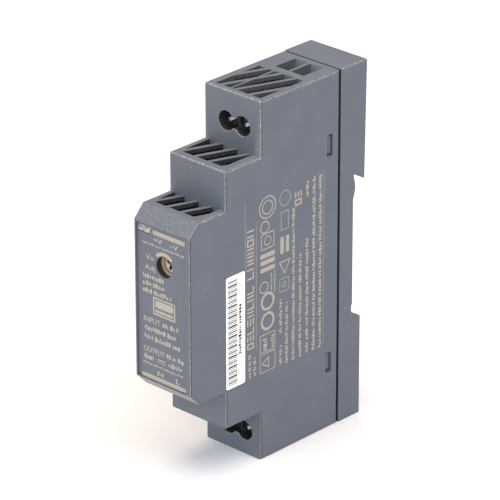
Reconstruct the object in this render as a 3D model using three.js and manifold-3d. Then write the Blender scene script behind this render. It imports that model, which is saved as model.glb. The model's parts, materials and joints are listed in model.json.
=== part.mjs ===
// DIN rail power supply, one 17.5 mm module wide.
//
// Frame: millimetres, +Z up along the device's height, +Y from the front face to the rail,
// +X to the right of someone who looks at the front. The origin is on the rail seat, at
// the middle of the rail and of the width.

import * as THREE from 'three';
import { mergeVertices } from 'three/addons/utils/BufferGeometryUtils.js';
import Module from 'manifold-3d';

const wasm = await Module();
wasm.setup();

// ---------------------------------------------------------------------------
// Driving dimensions
// ---------------------------------------------------------------------------

// housing: a nose, a middle tier and a terminal tier, stepped on both ends
const width = 17.5;
const halfWidth = width / 2;
const wall = 1.5;
const frontWall = 2.0;
const edgeRound = 0.5;
const endZ = 45;                 // top and bottom ends, 90 mm overall
const frontY = -54.5;            // front face, measured from the rail seat
const noseFlatTopZ = 18.8;       // flat of the front face, between its chamfers
const noseFlatBottomZ = -20.2;
const noseChamferDepth = 2.96;
const noseTopZ = 22.0;
const noseBottomZ = -23.3;
const midFaceY = -42.87;
const midTopZ = 31.52;
const midBottomZ = -32.73;
const tierFaceY = -31.33;
const seamY = -4.8;              // middle of the joint between housing and rear base
const seamGap = 0.5;

// front panel recess
const recessDepth = 0.5;
const recessLeftRim = 0.65;
const recessRightRim = 1.45;
const recessTopZ = 18.35;
const recessBottomZ = -20.2;

// louvres: slanted slats across openings in the ledges and in both ends
const slatPitch = 4.4;
const slatThickness = 1.0;
const slatDepth = 1.2;
const slatSlope = 0.385;         // sideways run per length, towards the rail
const noseVentX = [-7.2, 6.9];
const midVentX = [-7.2, 6.25];
const endVentX = [-6.6, 7.2];
const noseVentFrontY = -49.7;
const midVentFrontY = -40.8;
const endVentFrontY = -29.75;
const endVentBackY = -15.5;
const noseSlatPhase = -0.1;      // where one slat meets the back edge of its opening
const midSlatPhase = 0.95;
const endSlatPhase = 0.53;
const endVentRibX = -1.9;        // a thin rib along each end vent
const endVentRibThickness = 0.5;

// terminals: two poles at each end
const polePitch = 5.08;
const outputCentreX = 0.55;
const inputCentreX = 1.0;
const outputScrewZ = 37.4;
const inputScrewZ = -39.0;
const screwHeadRadius = 2.1;
const screwHeadHeight = 2.2;
const screwHeadY = -29.0;        // front of the head, behind its access hole
const shankRadius = 1.45;
const screwSlotWidth = 0.6;
const screwSlotDepth = 1.0;
const crossSlotHalf = 1.3;       // the shorter slot across the long one
const accessRadius = 2.42;       // each lobe of the figure-eight access hole
const accessNeckHeight = 2.7;
const wireWindowWidth = 3.98;
const wireWindowPitch = 4.76;
const wireWindowShiftX = 0.25;   // window pair's middle from the poles' middle
const wireWindowFrontY = -13.4;
const wireWindowBackY = -6.6;
const wireFunnelDepth = 2.6;
const wireFunnelThroat = 3.1;
const wireCollarWall = 0.8;      // around the wire windows

// rising clamp and contact bar in each pole
const clampHalfWidth = 2.05;
const clampSideWall = 0.5;
const clampThreadWall = 2.0;
const clampBackWall = 1.1;
const clampBackY = -6.4;         // back of the clamp when it is fully open
const clampOpening = 7.7;        // front to back, inside the clamp
const clampHalfHeight = 2.8;
const clampTravel = 3.5;
const contactFrontY = -14.3;
const contactThickness = 1.0;
const contactHalfWidth = 1.2;
const contactFoot = 1.0;         // height of the foot that goes to the board
const contactFootReach = 1.4;    // foot beyond the block, for the first pole
const contactFootStep = 2.2;     // and further for the second
const contactHoleRadius = 0.75;
const blockWall = 0.72;
const blockBackY = -5.5;
const blockShoulderY = -15.2;    // in front of this the block stays below the end vents
const blockShoulderReach = 3.2;  // from the screw axis outwards, in front of the shoulder
const blockInnerReach = 6.2;     // from the screw axis towards the middle of the device

// trimmer
const trimmerX = 0.4;
const trimmerZ = 9.25;
const trimmerHoleRadius = 2.5;
const rotorRadius = 2.05;
const rotorThickness = 1.5;
const rotorSetback = 2.4;        // rotor face behind the recessed panel
const rotorShaftRadius = 1.0;
const rotorShaftLength = 1.8;
const trimmerBodySide = 6.4;
const trimmerBodyDepth = 4.5;    // behind the rotor
const rotorWellGap = 0.2;        // around the rotor, in the body's front
const trimmerLeadSetback = 1.2;  // leads in front of the body's back
const trimmerLeadPitch = 2.5;
const rotorSlotHalf = 0.35;
const rotorSlotReach = 1.48;
const rotorSlotDepth = 0.8;

// indicator window
const windowLeft = -7.95;
const windowRight = -3.8;
const windowBottomZ = 16.05;
const windowTopZ = 17.8;
const lightPipeGap = 0.12;       // around the clear plate, in its window
const lightPipeFlange = 0.5;     // flange over the window's edges
const lightPipeFlangeDepth = 0.7;
const lightPipeStem = 0.6;
const ledHeight = 1.5;
const ledDepth = 1.5;
const ledHalfWidth = 1.0;
const ledLensLength = 0.5;
const ledLensRadius = 0.6;

// side label and snap windows
const labelFrontY = -42.7;
const labelBackY = -36.5;
const labelBottomZ = -22.9;
const labelTopZ = 5.3;
const labelThickness = 0.1;
const labelSetback = 0.02;
const labelRecess = 0.15;
const snapWindowFrontY = -9.1;
const snapWindowBackY = -7.2;
const upperSnapZ = [24.5, 30.0];
const lowerSnapZ = [-30.6, -25.4];

// rear base and rail notch
const baseTopBackY = 4.3;        // the upper back leans out towards the top
const baseUpperBackY = 3.8;      // just above the hook's tip
const baseLowerBackY = 2.8;
const hookTipZ = 15.4;
const hookTipY = 3.7;
const hookRootZ = 17.6;
const seatTopZ = 11.1;
const seatBumpHeight = 0.7;
const seatBumpShoulder = 0.6;
const seatBumpZ = 14.1;
const seatBumpHalf = 1.0;
const hookRootY = 0.2;
const hookRootFlat = 0.8;
const hookTipBlunt = 0.3;
const seatBottomZ = -15.8;
const seatRelief = 0.25;
const lipRootZ = -17.75;
const lipTipZ = -19.5;
const baseFloor = 1.5;           // wall left behind the base's pockets
const seatPocketFloorY = -1.8;
const seatPocketHalf = 15.5;     // pocket behind the seat, above and below its middle
const latchPocketTopZ = -19.0;
const snapArmThickness = 1.2;
const snapArmSideGap = 0.5;      // arm edge from each end of its window
const snapRampGap = 0.3;         // ramp from the window's front and back
const snapRampRise = 0.95;       // ramp's front corner, inside the housing's side
const snapTipSetback = 0.55;     // ramp's tip, inside the housing's side
const snapArmReach = 0.3;        // arm tip in front of the window's front edge

// rail latch, a sprung slide in a T-slot of the base
const latchHalfWidth = 3.95;
const latchFlangeHalfWidth = 5.1;
const latchFlangeThickness = 1.0;
const latchBackY = 2.55;
const latchSlotFloorY = -0.9;
const latchFlangeTopZ = -20.5;
const latchFlangeBottomZ = -40.0;
const latchBottomZ = -44.4;
const latchNoseFrontY = 1.3;
const latchNoseTopZ = -16.4;
const latchNoseShoulderZ = -18.3;
const latchNoseTip = 0.5;        // flat on the nose's top, and how deep its root is in the body
const pullSlotHalfWidth = 2.6;
const pullSlotDepth = 1.3;
const pullSlotZ = [1.3, 2.7];    // above the latch's bottom
const latchWindowHalfWidth = 2.1;
const latchWindowTopZ = -27.0;
const latchWindowBottomZ = -36.0;
const springPostHeight = 2.0;
const springPostSetback = 0.6;   // from the back of the latch
const springCoilRadius = 1.25;
const springWireRadius = 0.22;
const springTurns = 6;

// circuit board and its parts
const boardThickness = 1.6;
const boardGapToWall = 0.25;
const boardMargin = 0.4;
const boardRibX = 1.0;           // rib thickness
const boardRibReach = 1.2;       // past the board's front edge
const boardRibZ = [-8, 4];
const boardFrontY = -50.5;
const boardBackY = -5.6;
const leadRadius = 0.3;
const leadHoleRadius = 0.46;

// clearances
const slidingGap = 0.3;          // between pieces that pass or face each other
const runningGap = 0.06;         // radial, between a turning piece and its hole
const cutOver = 1.0;             // how far a cutter runs past what it cuts
const blend = 0.1;               // how far two joined solids run into each other

// ---------------------------------------------------------------------------
// Materials
// ---------------------------------------------------------------------------

function material(color, roughness, metalness = 0) {
  return new THREE.MeshStandardMaterial({ color, roughness, metalness });
}

const greyPlastic = material(0x777b84, 0.62);
const latchPlastic = material(0x5c6068, 0.55);
const lightPipePlastic = material(0xd7dbd2, 0.2);
const ledPlastic = material(0x5fd36b, 0.25);
const labelPaper = material(0xeeeeec, 0.6);
const boardLaminate = material(0x2d6a3f, 0.5);
const terminalPlastic = material(0x2c2e31, 0.55);
const trimmerPlastic = material(0x2f5fa8, 0.45);
const rotorPlastic = material(0xd9d5bd, 0.5);
const platedSteel = material(0xc6c8ca, 0.28, 1);
const tinnedBrass = material(0xcdbf8e, 0.32, 1);
const springSteel = material(0xa8abb0, 0.3, 1);
const ferrite = material(0x3a3a3d, 0.6);
const bobbinPlastic = material(0x1f2022, 0.5);
const windingTape = material(0xe0b93a, 0.45);
const magnetWire = material(0xa8552a, 0.35, 0.6);
const canSleeve = material(0x1e2a3d, 0.4);
const boxPlastic = material(0xb9bcc0, 0.5);
const yellowPlastic = material(0xd8b22a, 0.45);
const blueCoating = material(0x2f6fb5, 0.45);
const greenCoating = material(0x3d7a45, 0.45);
const fusePlastic = material(0x5a3325, 0.5);
const chipPlastic = material(0x232427, 0.5);

// ---------------------------------------------------------------------------
// Solids
// ---------------------------------------------------------------------------

function solidFrom(geometry) {
  geometry.deleteAttribute('normal');
  geometry.deleteAttribute('uv');
  const merged = mergeVertices(geometry, 1e-4);
  return new wasm.Manifold(
    new wasm.Mesh({
      numProp: 3,
      vertProperties: merged.attributes.position.array,
      triVerts: new Uint32Array(merged.index.array),
    }),
  );
}

function geometryFrom(solid) {
  const mesh = solid.getMesh();
  const geometry = new THREE.BufferGeometry();
  geometry.setAttribute('position', new THREE.BufferAttribute(mesh.vertProperties, 3));
  geometry.setIndex(new THREE.BufferAttribute(mesh.triVerts, 1));
  geometry.computeVertexNormals();
  return geometry;
}

function meshOf(name, solid, look, position = [0, 0, 0]) {
  const mesh = new THREE.Mesh(geometryFrom(solid), look);
  mesh.name = name;
  mesh.position.set(...position);
  return mesh;
}

// a box between two corners, given per axis in either order
function box([x0, x1], [y0, y1], [z0, z1]) {
  const size = [Math.abs(x1 - x0), Math.abs(y1 - y0), Math.abs(z1 - z0)];
  const geometry = new THREE.BoxGeometry(...size);
  geometry.translate((x0 + x1) / 2, (y0 + y1) / 2, (z0 + z1) / 2);
  return solidFrom(geometry);
}

function about(centre, half) {
  return [centre - half, centre + half];
}

function cylinderY(x, z, radius, [y0, y1], sides = 24) {
  const geometry = new THREE.CylinderGeometry(radius, radius, Math.abs(y1 - y0), sides);
  geometry.translate(x, (y0 + y1) / 2, z);
  return solidFrom(geometry);
}

function cylinderX(y, z, radius, [x0, x1], sides = 24) {
  const geometry = new THREE.CylinderGeometry(radius, radius, Math.abs(x1 - x0), sides);
  geometry.rotateZ(Math.PI / 2);
  geometry.translate((x0 + x1) / 2, y, z);
  return solidFrom(geometry);
}

function shapeOf(points) {
  return new THREE.Shape(points.map(([u, v]) => new THREE.Vector2(u, v)));
}

// an outline of [y, z] points, extruded across the width
function sidewaysPrism(points, [x0, x1], bevel = 0) {
  const geometry = new THREE.ExtrudeGeometry(shapeOf(points), {
    depth: Math.abs(x1 - x0) - 2 * bevel,
    bevelEnabled: bevel > 0,
    bevelThickness: bevel,
    bevelSize: bevel,
    bevelOffset: -bevel,
    bevelSegments: 2,
  });
  geometry.translate(0, 0, Math.min(x0, x1) + bevel);
  geometry.applyMatrix4(
    new THREE.Matrix4().makeBasis(
      new THREE.Vector3(0, 1, 0),
      new THREE.Vector3(0, 0, 1),
      new THREE.Vector3(1, 0, 0),
    ),
  );
  return solidFrom(geometry);
}

// an outline of [x, y] points, extruded upwards
function uprightPrism(points, [z0, z1]) {
  const geometry = new THREE.ExtrudeGeometry(shapeOf(points), {
    depth: Math.abs(z1 - z0),
    bevelEnabled: false,
  });
  geometry.translate(0, 0, Math.min(z0, z1));
  return solidFrom(geometry);
}

function union(...solids) {
  return solids.reduce((joined, solid) => joined.add(solid));
}

function cut(solid, ...cutters) {
  return cutters.reduce((left, cutter) => left.subtract(cutter), solid);
}

// moves every edge of a closed anticlockwise outline inwards
function insetOutline(points, distance) {
  const count = points.length;
  const edges = points.map(([u, v], i) => {
    const [nextU, nextV] = points[(i + 1) % count];
    const length = Math.hypot(nextU - u, nextV - v);
    const normal = [-(nextV - v) / length, (nextU - u) / length];
    return { normal, offset: normal[0] * u + normal[1] * v + distance };
  });
  return points.map((_, i) => {
    const a = edges[(i + count - 1) % count];
    const b = edges[i];
    const cross = a.normal[0] * b.normal[1] - a.normal[1] * b.normal[0];
    return [
      (a.offset * b.normal[1] - b.offset * a.normal[1]) / cross,
      (a.normal[0] * b.offset - b.normal[0] * a.offset) / cross,
    ];
  });
}

// ---------------------------------------------------------------------------
// Shared places
// ---------------------------------------------------------------------------

const housingBackY = seamY - seamGap / 2;
const baseFrontY = seamY + seamGap / 2;
const panelY = frontY + recessDepth;
const frontInnerY = frontY + frontWall;
const innerHalfWidth = halfWidth - wall;
const innerEndZ = endZ - wall;
const boardLeft = -innerHalfWidth + boardGapToWall;
const boardRight = boardLeft + boardThickness;
const partsLeft = boardRight + slidingGap;
const leadEnd = boardLeft - boardGapToWall / 2;

const ends = {
  output: { side: 1, centreX: outputCentreX, screwZ: outputScrewZ, poles: ['plus', 'minus'] },
  input: { side: -1, centreX: inputCentreX, screwZ: inputScrewZ, poles: ['neutral', 'line'] },
};

function polesOf(end) {
  return end.poles.map((name, index) => ({
    name,
    index,
    x: end.centreX + (index - 0.5) * polePitch,
    windowX: end.centreX + wireWindowShiftX + (index - 0.5) * wireWindowPitch,
  }));
}

// the stepped side outline, anticlockwise, with the given front face and back edge
function housingOutline(faceY, backY) {
  const chamferY = faceY + noseChamferDepth;
  return [
    [backY, endZ],
    [tierFaceY, endZ],
    [tierFaceY, midTopZ],
    [midFaceY, midTopZ],
    [midFaceY, noseTopZ],
    [chamferY, noseTopZ],
    [faceY, noseFlatTopZ],
    [faceY, noseFlatBottomZ],
    [chamferY, noseBottomZ],
    [midFaceY, noseBottomZ],
    [midFaceY, midBottomZ],
    [tierFaceY, midBottomZ],
    [tierFaceY, -endZ],
    [backY, -endZ],
  ];
}

// ---------------------------------------------------------------------------
// Front housing
// ---------------------------------------------------------------------------

// an opening through the wall whose outer face is at z, crossed by slanted slats
function louvreOpening({ xRange, yRange, slatPhase, ribX }, z) {
  const [xLeft, xRight] = xRange;
  const [yFront, yBack] = yRange;
  const out = Math.sign(z);
  const run = slatSlope * (yBack - yFront);
  const half = slatThickness / 2 / Math.cos(Math.atan(slatSlope));
  const slatZ = [z + 2 * out * cutOver, z - out * slatDepth].sort((a, b) => a - b);
  let opening = box(xRange, yRange, [z + out * cutOver, z - out * (wall + blend)]);
  const first = Math.ceil((xLeft - slatPhase) / slatPitch);
  const last = Math.floor((xRight + run - slatPhase) / slatPitch);
  for (let i = first; i <= last; i += 1) {
    const back = slatPhase + i * slatPitch;
    const over = cutOver * slatSlope;
    const slat = uprightPrism(
      [
        [back - run - over - half, yFront - cutOver],
        [back - run - over + half, yFront - cutOver],
        [back + over + half, yBack + cutOver],
        [back + over - half, yBack + cutOver],
      ],
      slatZ,
    );
    opening = opening.subtract(slat);
  }
  if (ribX === undefined) return opening;
  const rib = box(about(ribX, endVentRibThickness / 2), [yFront - cutOver, yBack + cutOver], slatZ);
  return opening.subtract(rib);
}

function ventOpenings() {
  const nose = { xRange: noseVentX, yRange: [noseVentFrontY, midFaceY], slatPhase: noseSlatPhase };
  const mid = { xRange: midVentX, yRange: [midVentFrontY, tierFaceY], slatPhase: midSlatPhase };
  const end = {
    xRange: endVentX,
    yRange: [endVentFrontY, endVentBackY],
    slatPhase: endSlatPhase,
    ribX: endVentRibX,
  };
  return [
    louvreOpening(nose, noseTopZ),
    louvreOpening(nose, noseBottomZ),
    louvreOpening(mid, midTopZ),
    louvreOpening(mid, midBottomZ),
    louvreOpening(end, endZ),
    louvreOpening(end, -endZ),
  ];
}

// the figure-eight hole that a screwdriver goes through
function accessHole(end, [y0, y1]) {
  const poles = polesOf(end);
  const lobes = poles.map((pole) => cylinderY(pole.x, end.screwZ, accessRadius, [y0, y1]));
  const neck = box([poles[0].x, poles[1].x], [y0, y1], about(end.screwZ, accessNeckHeight / 2));
  return union(...lobes, neck);
}

// the tapered hole that a wire goes in through: a four-sided cylinder turned by 45 degrees
// and stretched to the window's length
function wireFunnel(end, pole) {
  const wide = wireWindowWidth / Math.SQRT2;
  const narrow = wireFunnelThroat / Math.SQRT2;
  const over = runningGap / 3;
  const geometry = new THREE.CylinderGeometry(wide, narrow, wireFunnelDepth + 2 * over, 4);
  geometry.rotateY(Math.PI / 4);
  geometry.rotateX((end.side * Math.PI) / 2);
  geometry.scale(1, (wireWindowBackY - wireWindowFrontY) / wireWindowWidth, 1);
  geometry.translate(
    pole.windowX,
    (wireWindowFrontY + wireWindowBackY) / 2,
    end.side * (endZ - wireFunnelDepth / 2),
  );
  return solidFrom(geometry);
}

// the end wall is thicker around the wire windows
function wireCollar(end) {
  const poles = polesOf(end);
  const margin = wireWindowWidth / 2 + wireCollarWall;
  return box(
    [poles[0].windowX - margin, poles[1].windowX + margin],
    [wireWindowFrontY - wireCollarWall, wireWindowBackY + wireCollarWall],
    [end.side * (innerEndZ + blend), end.side * (endZ - wireFunnelDepth)],
  );
}

function snapWindows() {
  const windows = [];
  for (const side of [-1, 1]) {
    for (const zRange of [upperSnapZ, lowerSnapZ]) {
      const xRange = [side * (innerHalfWidth - cutOver), side * (halfWidth + cutOver)];
      windows.push(box(xRange, [snapWindowFrontY, snapWindowBackY], zRange));
    }
  }
  return windows;
}

function frontOpenings() {
  const through = [frontY - cutOver, frontInnerY + blend];
  const recess = box(
    [-halfWidth + recessLeftRim, halfWidth - recessRightRim],
    [frontY - cutOver, panelY],
    [recessBottomZ, recessTopZ],
  );
  const trimmerHole = cylinderY(trimmerX, trimmerZ, trimmerHoleRadius, through, 32);
  const indicator = box([windowLeft, windowRight], through, [windowBottomZ, windowTopZ]);
  return [recess, trimmerHole, indicator];
}

function labelPocket() {
  return box(
    [halfWidth - labelRecess, halfWidth + cutOver],
    [labelFrontY - slidingGap, labelBackY + slidingGap],
    [labelBottomZ - slidingGap, labelTopZ + slidingGap],
  );
}

// a rib behind the front wall that holds the board against the left wall
function boardRib() {
  const left = boardRight + slidingGap / 2;
  const yRange = [frontInnerY - blend, boardFrontY + boardRibReach];
  return box([left, left + boardRibX], yRange, boardRibZ);
}

function frontHousing() {
  const outer = sidewaysPrism(
    housingOutline(frontY, housingBackY),
    [-halfWidth, halfWidth],
    edgeRound,
  );
  const inner = insetOutline(housingOutline(frontY + frontWall - wall, housingBackY), wall);
  inner[0][0] = housingBackY + cutOver;
  inner[inner.length - 1][0] = housingBackY + cutOver;
  const cavity = sidewaysPrism(inner, [-innerHalfWidth, innerHalfWidth]);
  const collars = Object.values(ends).map(wireCollar);
  const holes = [];
  for (const end of Object.values(ends)) {
    holes.push(accessHole(end, [tierFaceY - cutOver, tierFaceY + wall + blend]));
    holes.push(...polesOf(end).map((pole) => wireFunnel(end, pole)));
  }
  const shell = union(cut(outer, cavity), ...collars, boardRib());
  return cut(shell, ...ventOpenings(), ...holes, ...snapWindows(), ...frontOpenings(), labelPocket());
}

// ---------------------------------------------------------------------------
// Rear base with the rail notch
// ---------------------------------------------------------------------------

// the side outline of the base, anticlockwise from its upper front corner
function baseOutline() {
  return [
    [baseFrontY, endZ],
    [baseFrontY, -endZ],
    [baseLowerBackY, -endZ],
    [baseLowerBackY, lipTipZ],
    [-seatRelief, lipRootZ],
    [-seatRelief, seatBottomZ],
    [0, seatBottomZ],
    [0, seatTopZ],
    [seatBumpShoulder, seatBumpZ - seatBumpHalf],
    [seatBumpHeight, seatBumpZ],
    [seatBumpShoulder, seatBumpZ + seatBumpHalf],
    [hookRootY, hookRootZ - hookRootFlat],
    [hookRootY, hookRootZ],
    [hookTipY, hookTipZ],
    [baseUpperBackY, hookTipZ + hookTipBlunt],
    [baseTopBackY, endZ],
  ];
}

function basePockets() {
  const xRange = [-innerHalfWidth, innerHalfWidth];
  const front = baseFrontY - cutOver;
  const upperFloor = baseUpperBackY - baseFloor;
  const lowerFloor = latchSlotFloorY - baseFloor;
  return [
    box(xRange, [front, upperFloor], [hookRootZ + baseFloor + hookTipBlunt, innerEndZ]),
    box(xRange, [front, seatPocketFloorY], about(0, seatPocketHalf)),
    box(xRange, [front, lowerFloor], [-innerEndZ, latchPocketTopZ]),
  ];
}

// outline of the ramp that snaps into a side window, on the right side of the base
function snapRampOutline(inside) {
  const rampFrontY = snapWindowFrontY + snapRampGap;
  const rampBackY = snapWindowBackY - snapRampGap;
  return [
    [inside, rampFrontY],
    [halfWidth - snapRampRise, rampFrontY + snapRampGap],
    [halfWidth - snapTipSetback, rampBackY - snapRampGap],
    [halfWidth - snapTipSetback, rampBackY],
    [inside, rampBackY],
  ];
}

function mirrored(points) {
  return points.map(([x, y]) => [-x, y]).reverse();
}

function snapArms() {
  const outside = innerHalfWidth - slidingGap;
  const inside = outside - snapArmThickness;
  const ramp = snapRampOutline(inside);
  const tip = snapWindowFrontY - snapArmReach;
  const arms = [];
  for (const [z0, z1] of [upperSnapZ, lowerSnapZ]) {
    const floor = z0 > 0 ? baseUpperBackY - baseFloor : latchSlotFloorY - baseFloor;
    const zArm = [z0 + snapArmSideGap, z1 - snapArmSideGap];
    for (const side of [-1, 1]) {
      arms.push(
        box([side * inside, side * outside], [tip, floor + baseFloor / 3], zArm),
        uprightPrism(side > 0 ? ramp : mirrored(ramp), zArm),
      );
    }
  }
  return arms;
}

function latchSlot() {
  const flangeHalf = latchFlangeHalfWidth + slidingGap;
  const bodyHalf = latchHalfWidth + slidingGap;
  const flangeBackY = latchSlotFloorY + slidingGap + latchFlangeThickness + slidingGap;
  const below = -endZ - cutOver;
  return union(
    box(about(0, flangeHalf), [latchSlotFloorY, flangeBackY], [below, latchFlangeTopZ + slidingGap]),
    box(about(0, bodyHalf), [latchSlotFloorY, latchBackY + 2], [below, latchFlangeTopZ + slidingGap]),
    box(about(0, bodyHalf), [latchNoseFrontY - slidingGap, latchBackY + 2], [below, latchNoseTopZ + 2]),
  );
}

// the fixed post that the latch spring pushes against
function springPost() {
  const low = latchWindowBottomZ + slidingGap;
  return box(
    about(0, latchWindowHalfWidth - slidingGap),
    [latchSlotFloorY - 2 * blend, latchBackY - springPostSetback],
    [low, low + springPostHeight],
  );
}

function rearBase() {
  const body = sidewaysPrism(baseOutline().reverse(), [-halfWidth, halfWidth], 0);
  return union(cut(body, ...basePockets(), latchSlot()), springPost(), ...snapArms());
}

// ---------------------------------------------------------------------------
// Rail latch and spring
// ---------------------------------------------------------------------------

function railLatch() {
  const flangeFrontY = latchSlotFloorY + slidingGap;
  const flange = box(
    about(0, latchFlangeHalfWidth),
    [flangeFrontY, flangeFrontY + latchFlangeThickness],
    [latchFlangeBottomZ, latchFlangeTopZ],
  );
  const body = box(
    about(0, latchHalfWidth),
    [flangeFrontY, latchBackY],
    [latchBottomZ, latchFlangeTopZ],
  );
  const nose = sidewaysPrism(
    [
      [latchNoseFrontY, latchFlangeTopZ - latchNoseTip],
      [latchBackY, latchFlangeTopZ - latchNoseTip],
      [latchBackY, latchNoseShoulderZ],
      [latchNoseFrontY + latchNoseTip, latchNoseTopZ],
      [latchNoseFrontY, latchNoseTopZ],
    ],
    about(0, latchHalfWidth),
  );
  const springWindow = box(
    about(0, latchWindowHalfWidth),
    [flangeFrontY - cutOver, latchBackY + cutOver],
    [latchWindowBottomZ, latchWindowTopZ],
  );
  const pullSlot = box(
    about(0, pullSlotHalfWidth),
    [latchBackY - pullSlotDepth, latchBackY + cutOver],
    pullSlotZ.map((rise) => latchBottomZ + rise),
  );
  return cut(union(flange, body, nose), springWindow, pullSlot);
}

const springEndGap = 0.1;
const springBottomZ = latchWindowBottomZ + slidingGap + springPostHeight + springEndGap;
const springTopZ = latchWindowTopZ - springEndGap;
const springAxisY = (latchSlotFloorY + latchBackY) / 2 + 0.1;
const springSectionSides = 6;
const springStepsPerTurn = 10;

class Helix extends THREE.Curve {
  constructor(radius, bottomZ, topZ, turns) {
    super();
    Object.assign(this, { radius, bottomZ, topZ, turns });
  }

  getPoint(t, target = new THREE.Vector3()) {
    const angle = 2 * Math.PI * this.turns * t;
    const z = this.bottomZ + (this.topZ - this.bottomZ) * t;
    return target.set(this.radius * Math.cos(angle), this.radius * Math.sin(angle), z);
  }
}

function circleShape(radius, sides) {
  const points = [];
  for (let i = 0; i < sides; i += 1) {
    const angle = (2 * Math.PI * i) / sides;
    points.push([radius * Math.cos(angle), radius * Math.sin(angle)]);
  }
  return shapeOf(points);
}

function latchSpring() {
  const path = new Helix(
    springCoilRadius,
    springBottomZ + springWireRadius,
    springTopZ - springWireRadius,
    springTurns,
  );
  const section = circleShape(springWireRadius, springSectionSides);
  const geometry = new THREE.ExtrudeGeometry(section, {
    steps: springTurns * springStepsPerTurn,
    extrudePath: path,
  });
  return solidFrom(geometry);
}

// ---------------------------------------------------------------------------
// Terminals
// ---------------------------------------------------------------------------

const headBackY = screwHeadY + screwHeadHeight;
const clampFrontY = clampBackY - clampBackWall - clampOpening - clampThreadWall;
const clampClosedFrontY = clampFrontY - clampTravel;
const shankEndY = contactFrontY - slidingGap / 3;
const blockFrontY = tierFaceY + wall + slidingGap;
const blockOuterZ = endZ - wireFunnelDepth - slidingGap;

function blockHalfWidth() {
  return polePitch / 2 + clampHalfWidth + slidingGap / 2 + blockWall;
}

function terminalBlock(end) {
  const { side, screwZ, centreX } = end;
  const innerZ = screwZ - side * blockInnerReach;
  const outerZ = side * blockOuterZ;
  const pocketOuterZ = outerZ + side * cutOver;
  const pocketInnerZ = screwZ - side * (clampHalfHeight + slidingGap);
  const xRange = about(centreX, blockHalfWidth());
  const front = box(xRange, [blockFrontY, blockShoulderY + blend], [
    innerZ,
    screwZ + side * blockShoulderReach,
  ]);
  const back = box(xRange, [blockShoulderY, blockBackY], [innerZ, outerZ]);
  const cutters = [];
  for (const pole of polesOf(end)) {
    cutters.push(
      cylinderY(pole.x, screwZ, accessRadius, [blockFrontY - cutOver, headBackY + slidingGap]),
      cylinderY(
        pole.x,
        screwZ,
        shankRadius + slidingGap,
        [headBackY, clampClosedFrontY],
        16,
      ),
      box(
        about(pole.x, clampHalfWidth + slidingGap / 2),
        [clampClosedFrontY - slidingGap, clampBackY + slidingGap],
        [pocketInnerZ, pocketOuterZ],
      ),
      box(
        about(pole.x, contactHalfWidth + slidingGap / 2),
        [contactFrontY - slidingGap / 2, contactFrontY + contactThickness + slidingGap / 2],
        [innerZ - side * cutOver, screwZ],
      ),
    );
  }
  return cut(union(front, back), ...cutters);
}

// pieces of one pole, with the screw axis at x = 0, z = 0
function terminalScrew() {
  const head = cylinderY(0, 0, screwHeadRadius, [screwHeadY, headBackY], 24);
  const shank = cylinderY(0, 0, shankRadius, [headBackY - blend, shankEndY], 20);
  const slotEnd = screwHeadY + screwSlotDepth;
  const slot = box(
    about(0, screwHeadRadius + cutOver),
    [screwHeadY - cutOver, slotEnd],
    about(0, screwSlotWidth / 2),
  );
  const cross = box(
    about(0, screwSlotWidth / 2),
    [screwHeadY - cutOver, slotEnd],
    about(0, crossSlotHalf),
  );
  return cut(union(head, shank), slot, cross);
}

function risingClamp() {
  const innerHalf = clampHalfWidth - clampSideWall;
  const openingFrontY = clampFrontY + clampThreadWall;
  const body = box(
    about(0, clampHalfWidth),
    [clampFrontY, clampBackY],
    about(0, clampHalfHeight),
  );
  const wireWay = box(
    about(0, innerHalf),
    [openingFrontY, openingFrontY + clampOpening],
    about(0, clampHalfHeight + cutOver),
  );
  const thread = cylinderY(
    0,
    0,
    shankRadius + runningGap,
    [clampFrontY - cutOver, openingFrontY + blend],
    20,
  );
  return cut(body, wireWay, thread);
}

// each pole's bar leaves the block further in than its neighbour's, so that they cross clear
function contactBar(end, pole) {
  const { side } = end;
  const reach = blockInnerReach + contactFootReach + pole.index * contactFootStep;
  const zFoot = [-side * reach, -side * (reach - contactFoot)];
  const yBar = [contactFrontY, contactFrontY + contactThickness];
  const bar = box(about(0, contactHalfWidth), yBar, [side * clampHalfHeight, zFoot[0]]);
  const footLeft = boardRight + slidingGap - pole.x;
  const foot = box([footLeft, 0], yBar, zFoot);
  const pin = box(
    [leadEnd - pole.x, footLeft + slidingGap],
    [yBar[0] + blend, yBar[1] - blend],
    [zFoot[0] + side * blend, zFoot[1] - side * blend],
  );
  boardHoles.push({
    y: contactFrontY + contactThickness / 2,
    z: end.screwZ + (zFoot[0] + zFoot[1]) / 2,
    radius: contactHoleRadius,
  });
  return union(bar, foot, pin);
}

// ---------------------------------------------------------------------------
// Circuit board parts. Every lead goes through a hole that the board gets for it.
// ---------------------------------------------------------------------------

const boardHoles = [];

function lead(y, z, fromX) {
  boardHoles.push({ y, z, radius: leadHoleRadius });
  return cylinderX(y, z, leadRadius, [leadEnd, fromX], 6);
}

function boardPart(body, leads) {
  return union(body, ...leads.map(([y, z]) => lead(y, z, partsLeft + slidingGap)));
}

function circuitBoard() {
  const margin = wall + boardMargin;
  const outline = insetOutline(housingOutline(frontY, boardBackY + margin), margin);
  const through = [boardLeft - cutOver, boardRight + cutOver];
  let board = sidewaysPrism(outline, [boardLeft, boardRight]);
  board = cut(board, box(through, [frontY, boardFrontY], [-endZ, endZ]));
  for (const [z0, z1] of [upperSnapZ, lowerSnapZ]) {
    const notchFrontY = snapWindowFrontY - snapArmReach - slidingGap;
    const notch = box(through, [notchFrontY, 0], [z0 + blend, z1 - blend]);
    board = board.subtract(notch);
  }
  for (const { y, z, radius } of boardHoles) {
    board = board.subtract(cylinderX(y, z, radius, through, 8));
  }
  return board;
}

const canGrooveDepth = 0.35;
const canGrooveWidth = 0.6;
const lyingGrooveSetback = 2.2;  // from the end with the leads
const lyingLeadBend = 1.3;
const standingGrooveRise = 1.4;

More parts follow.
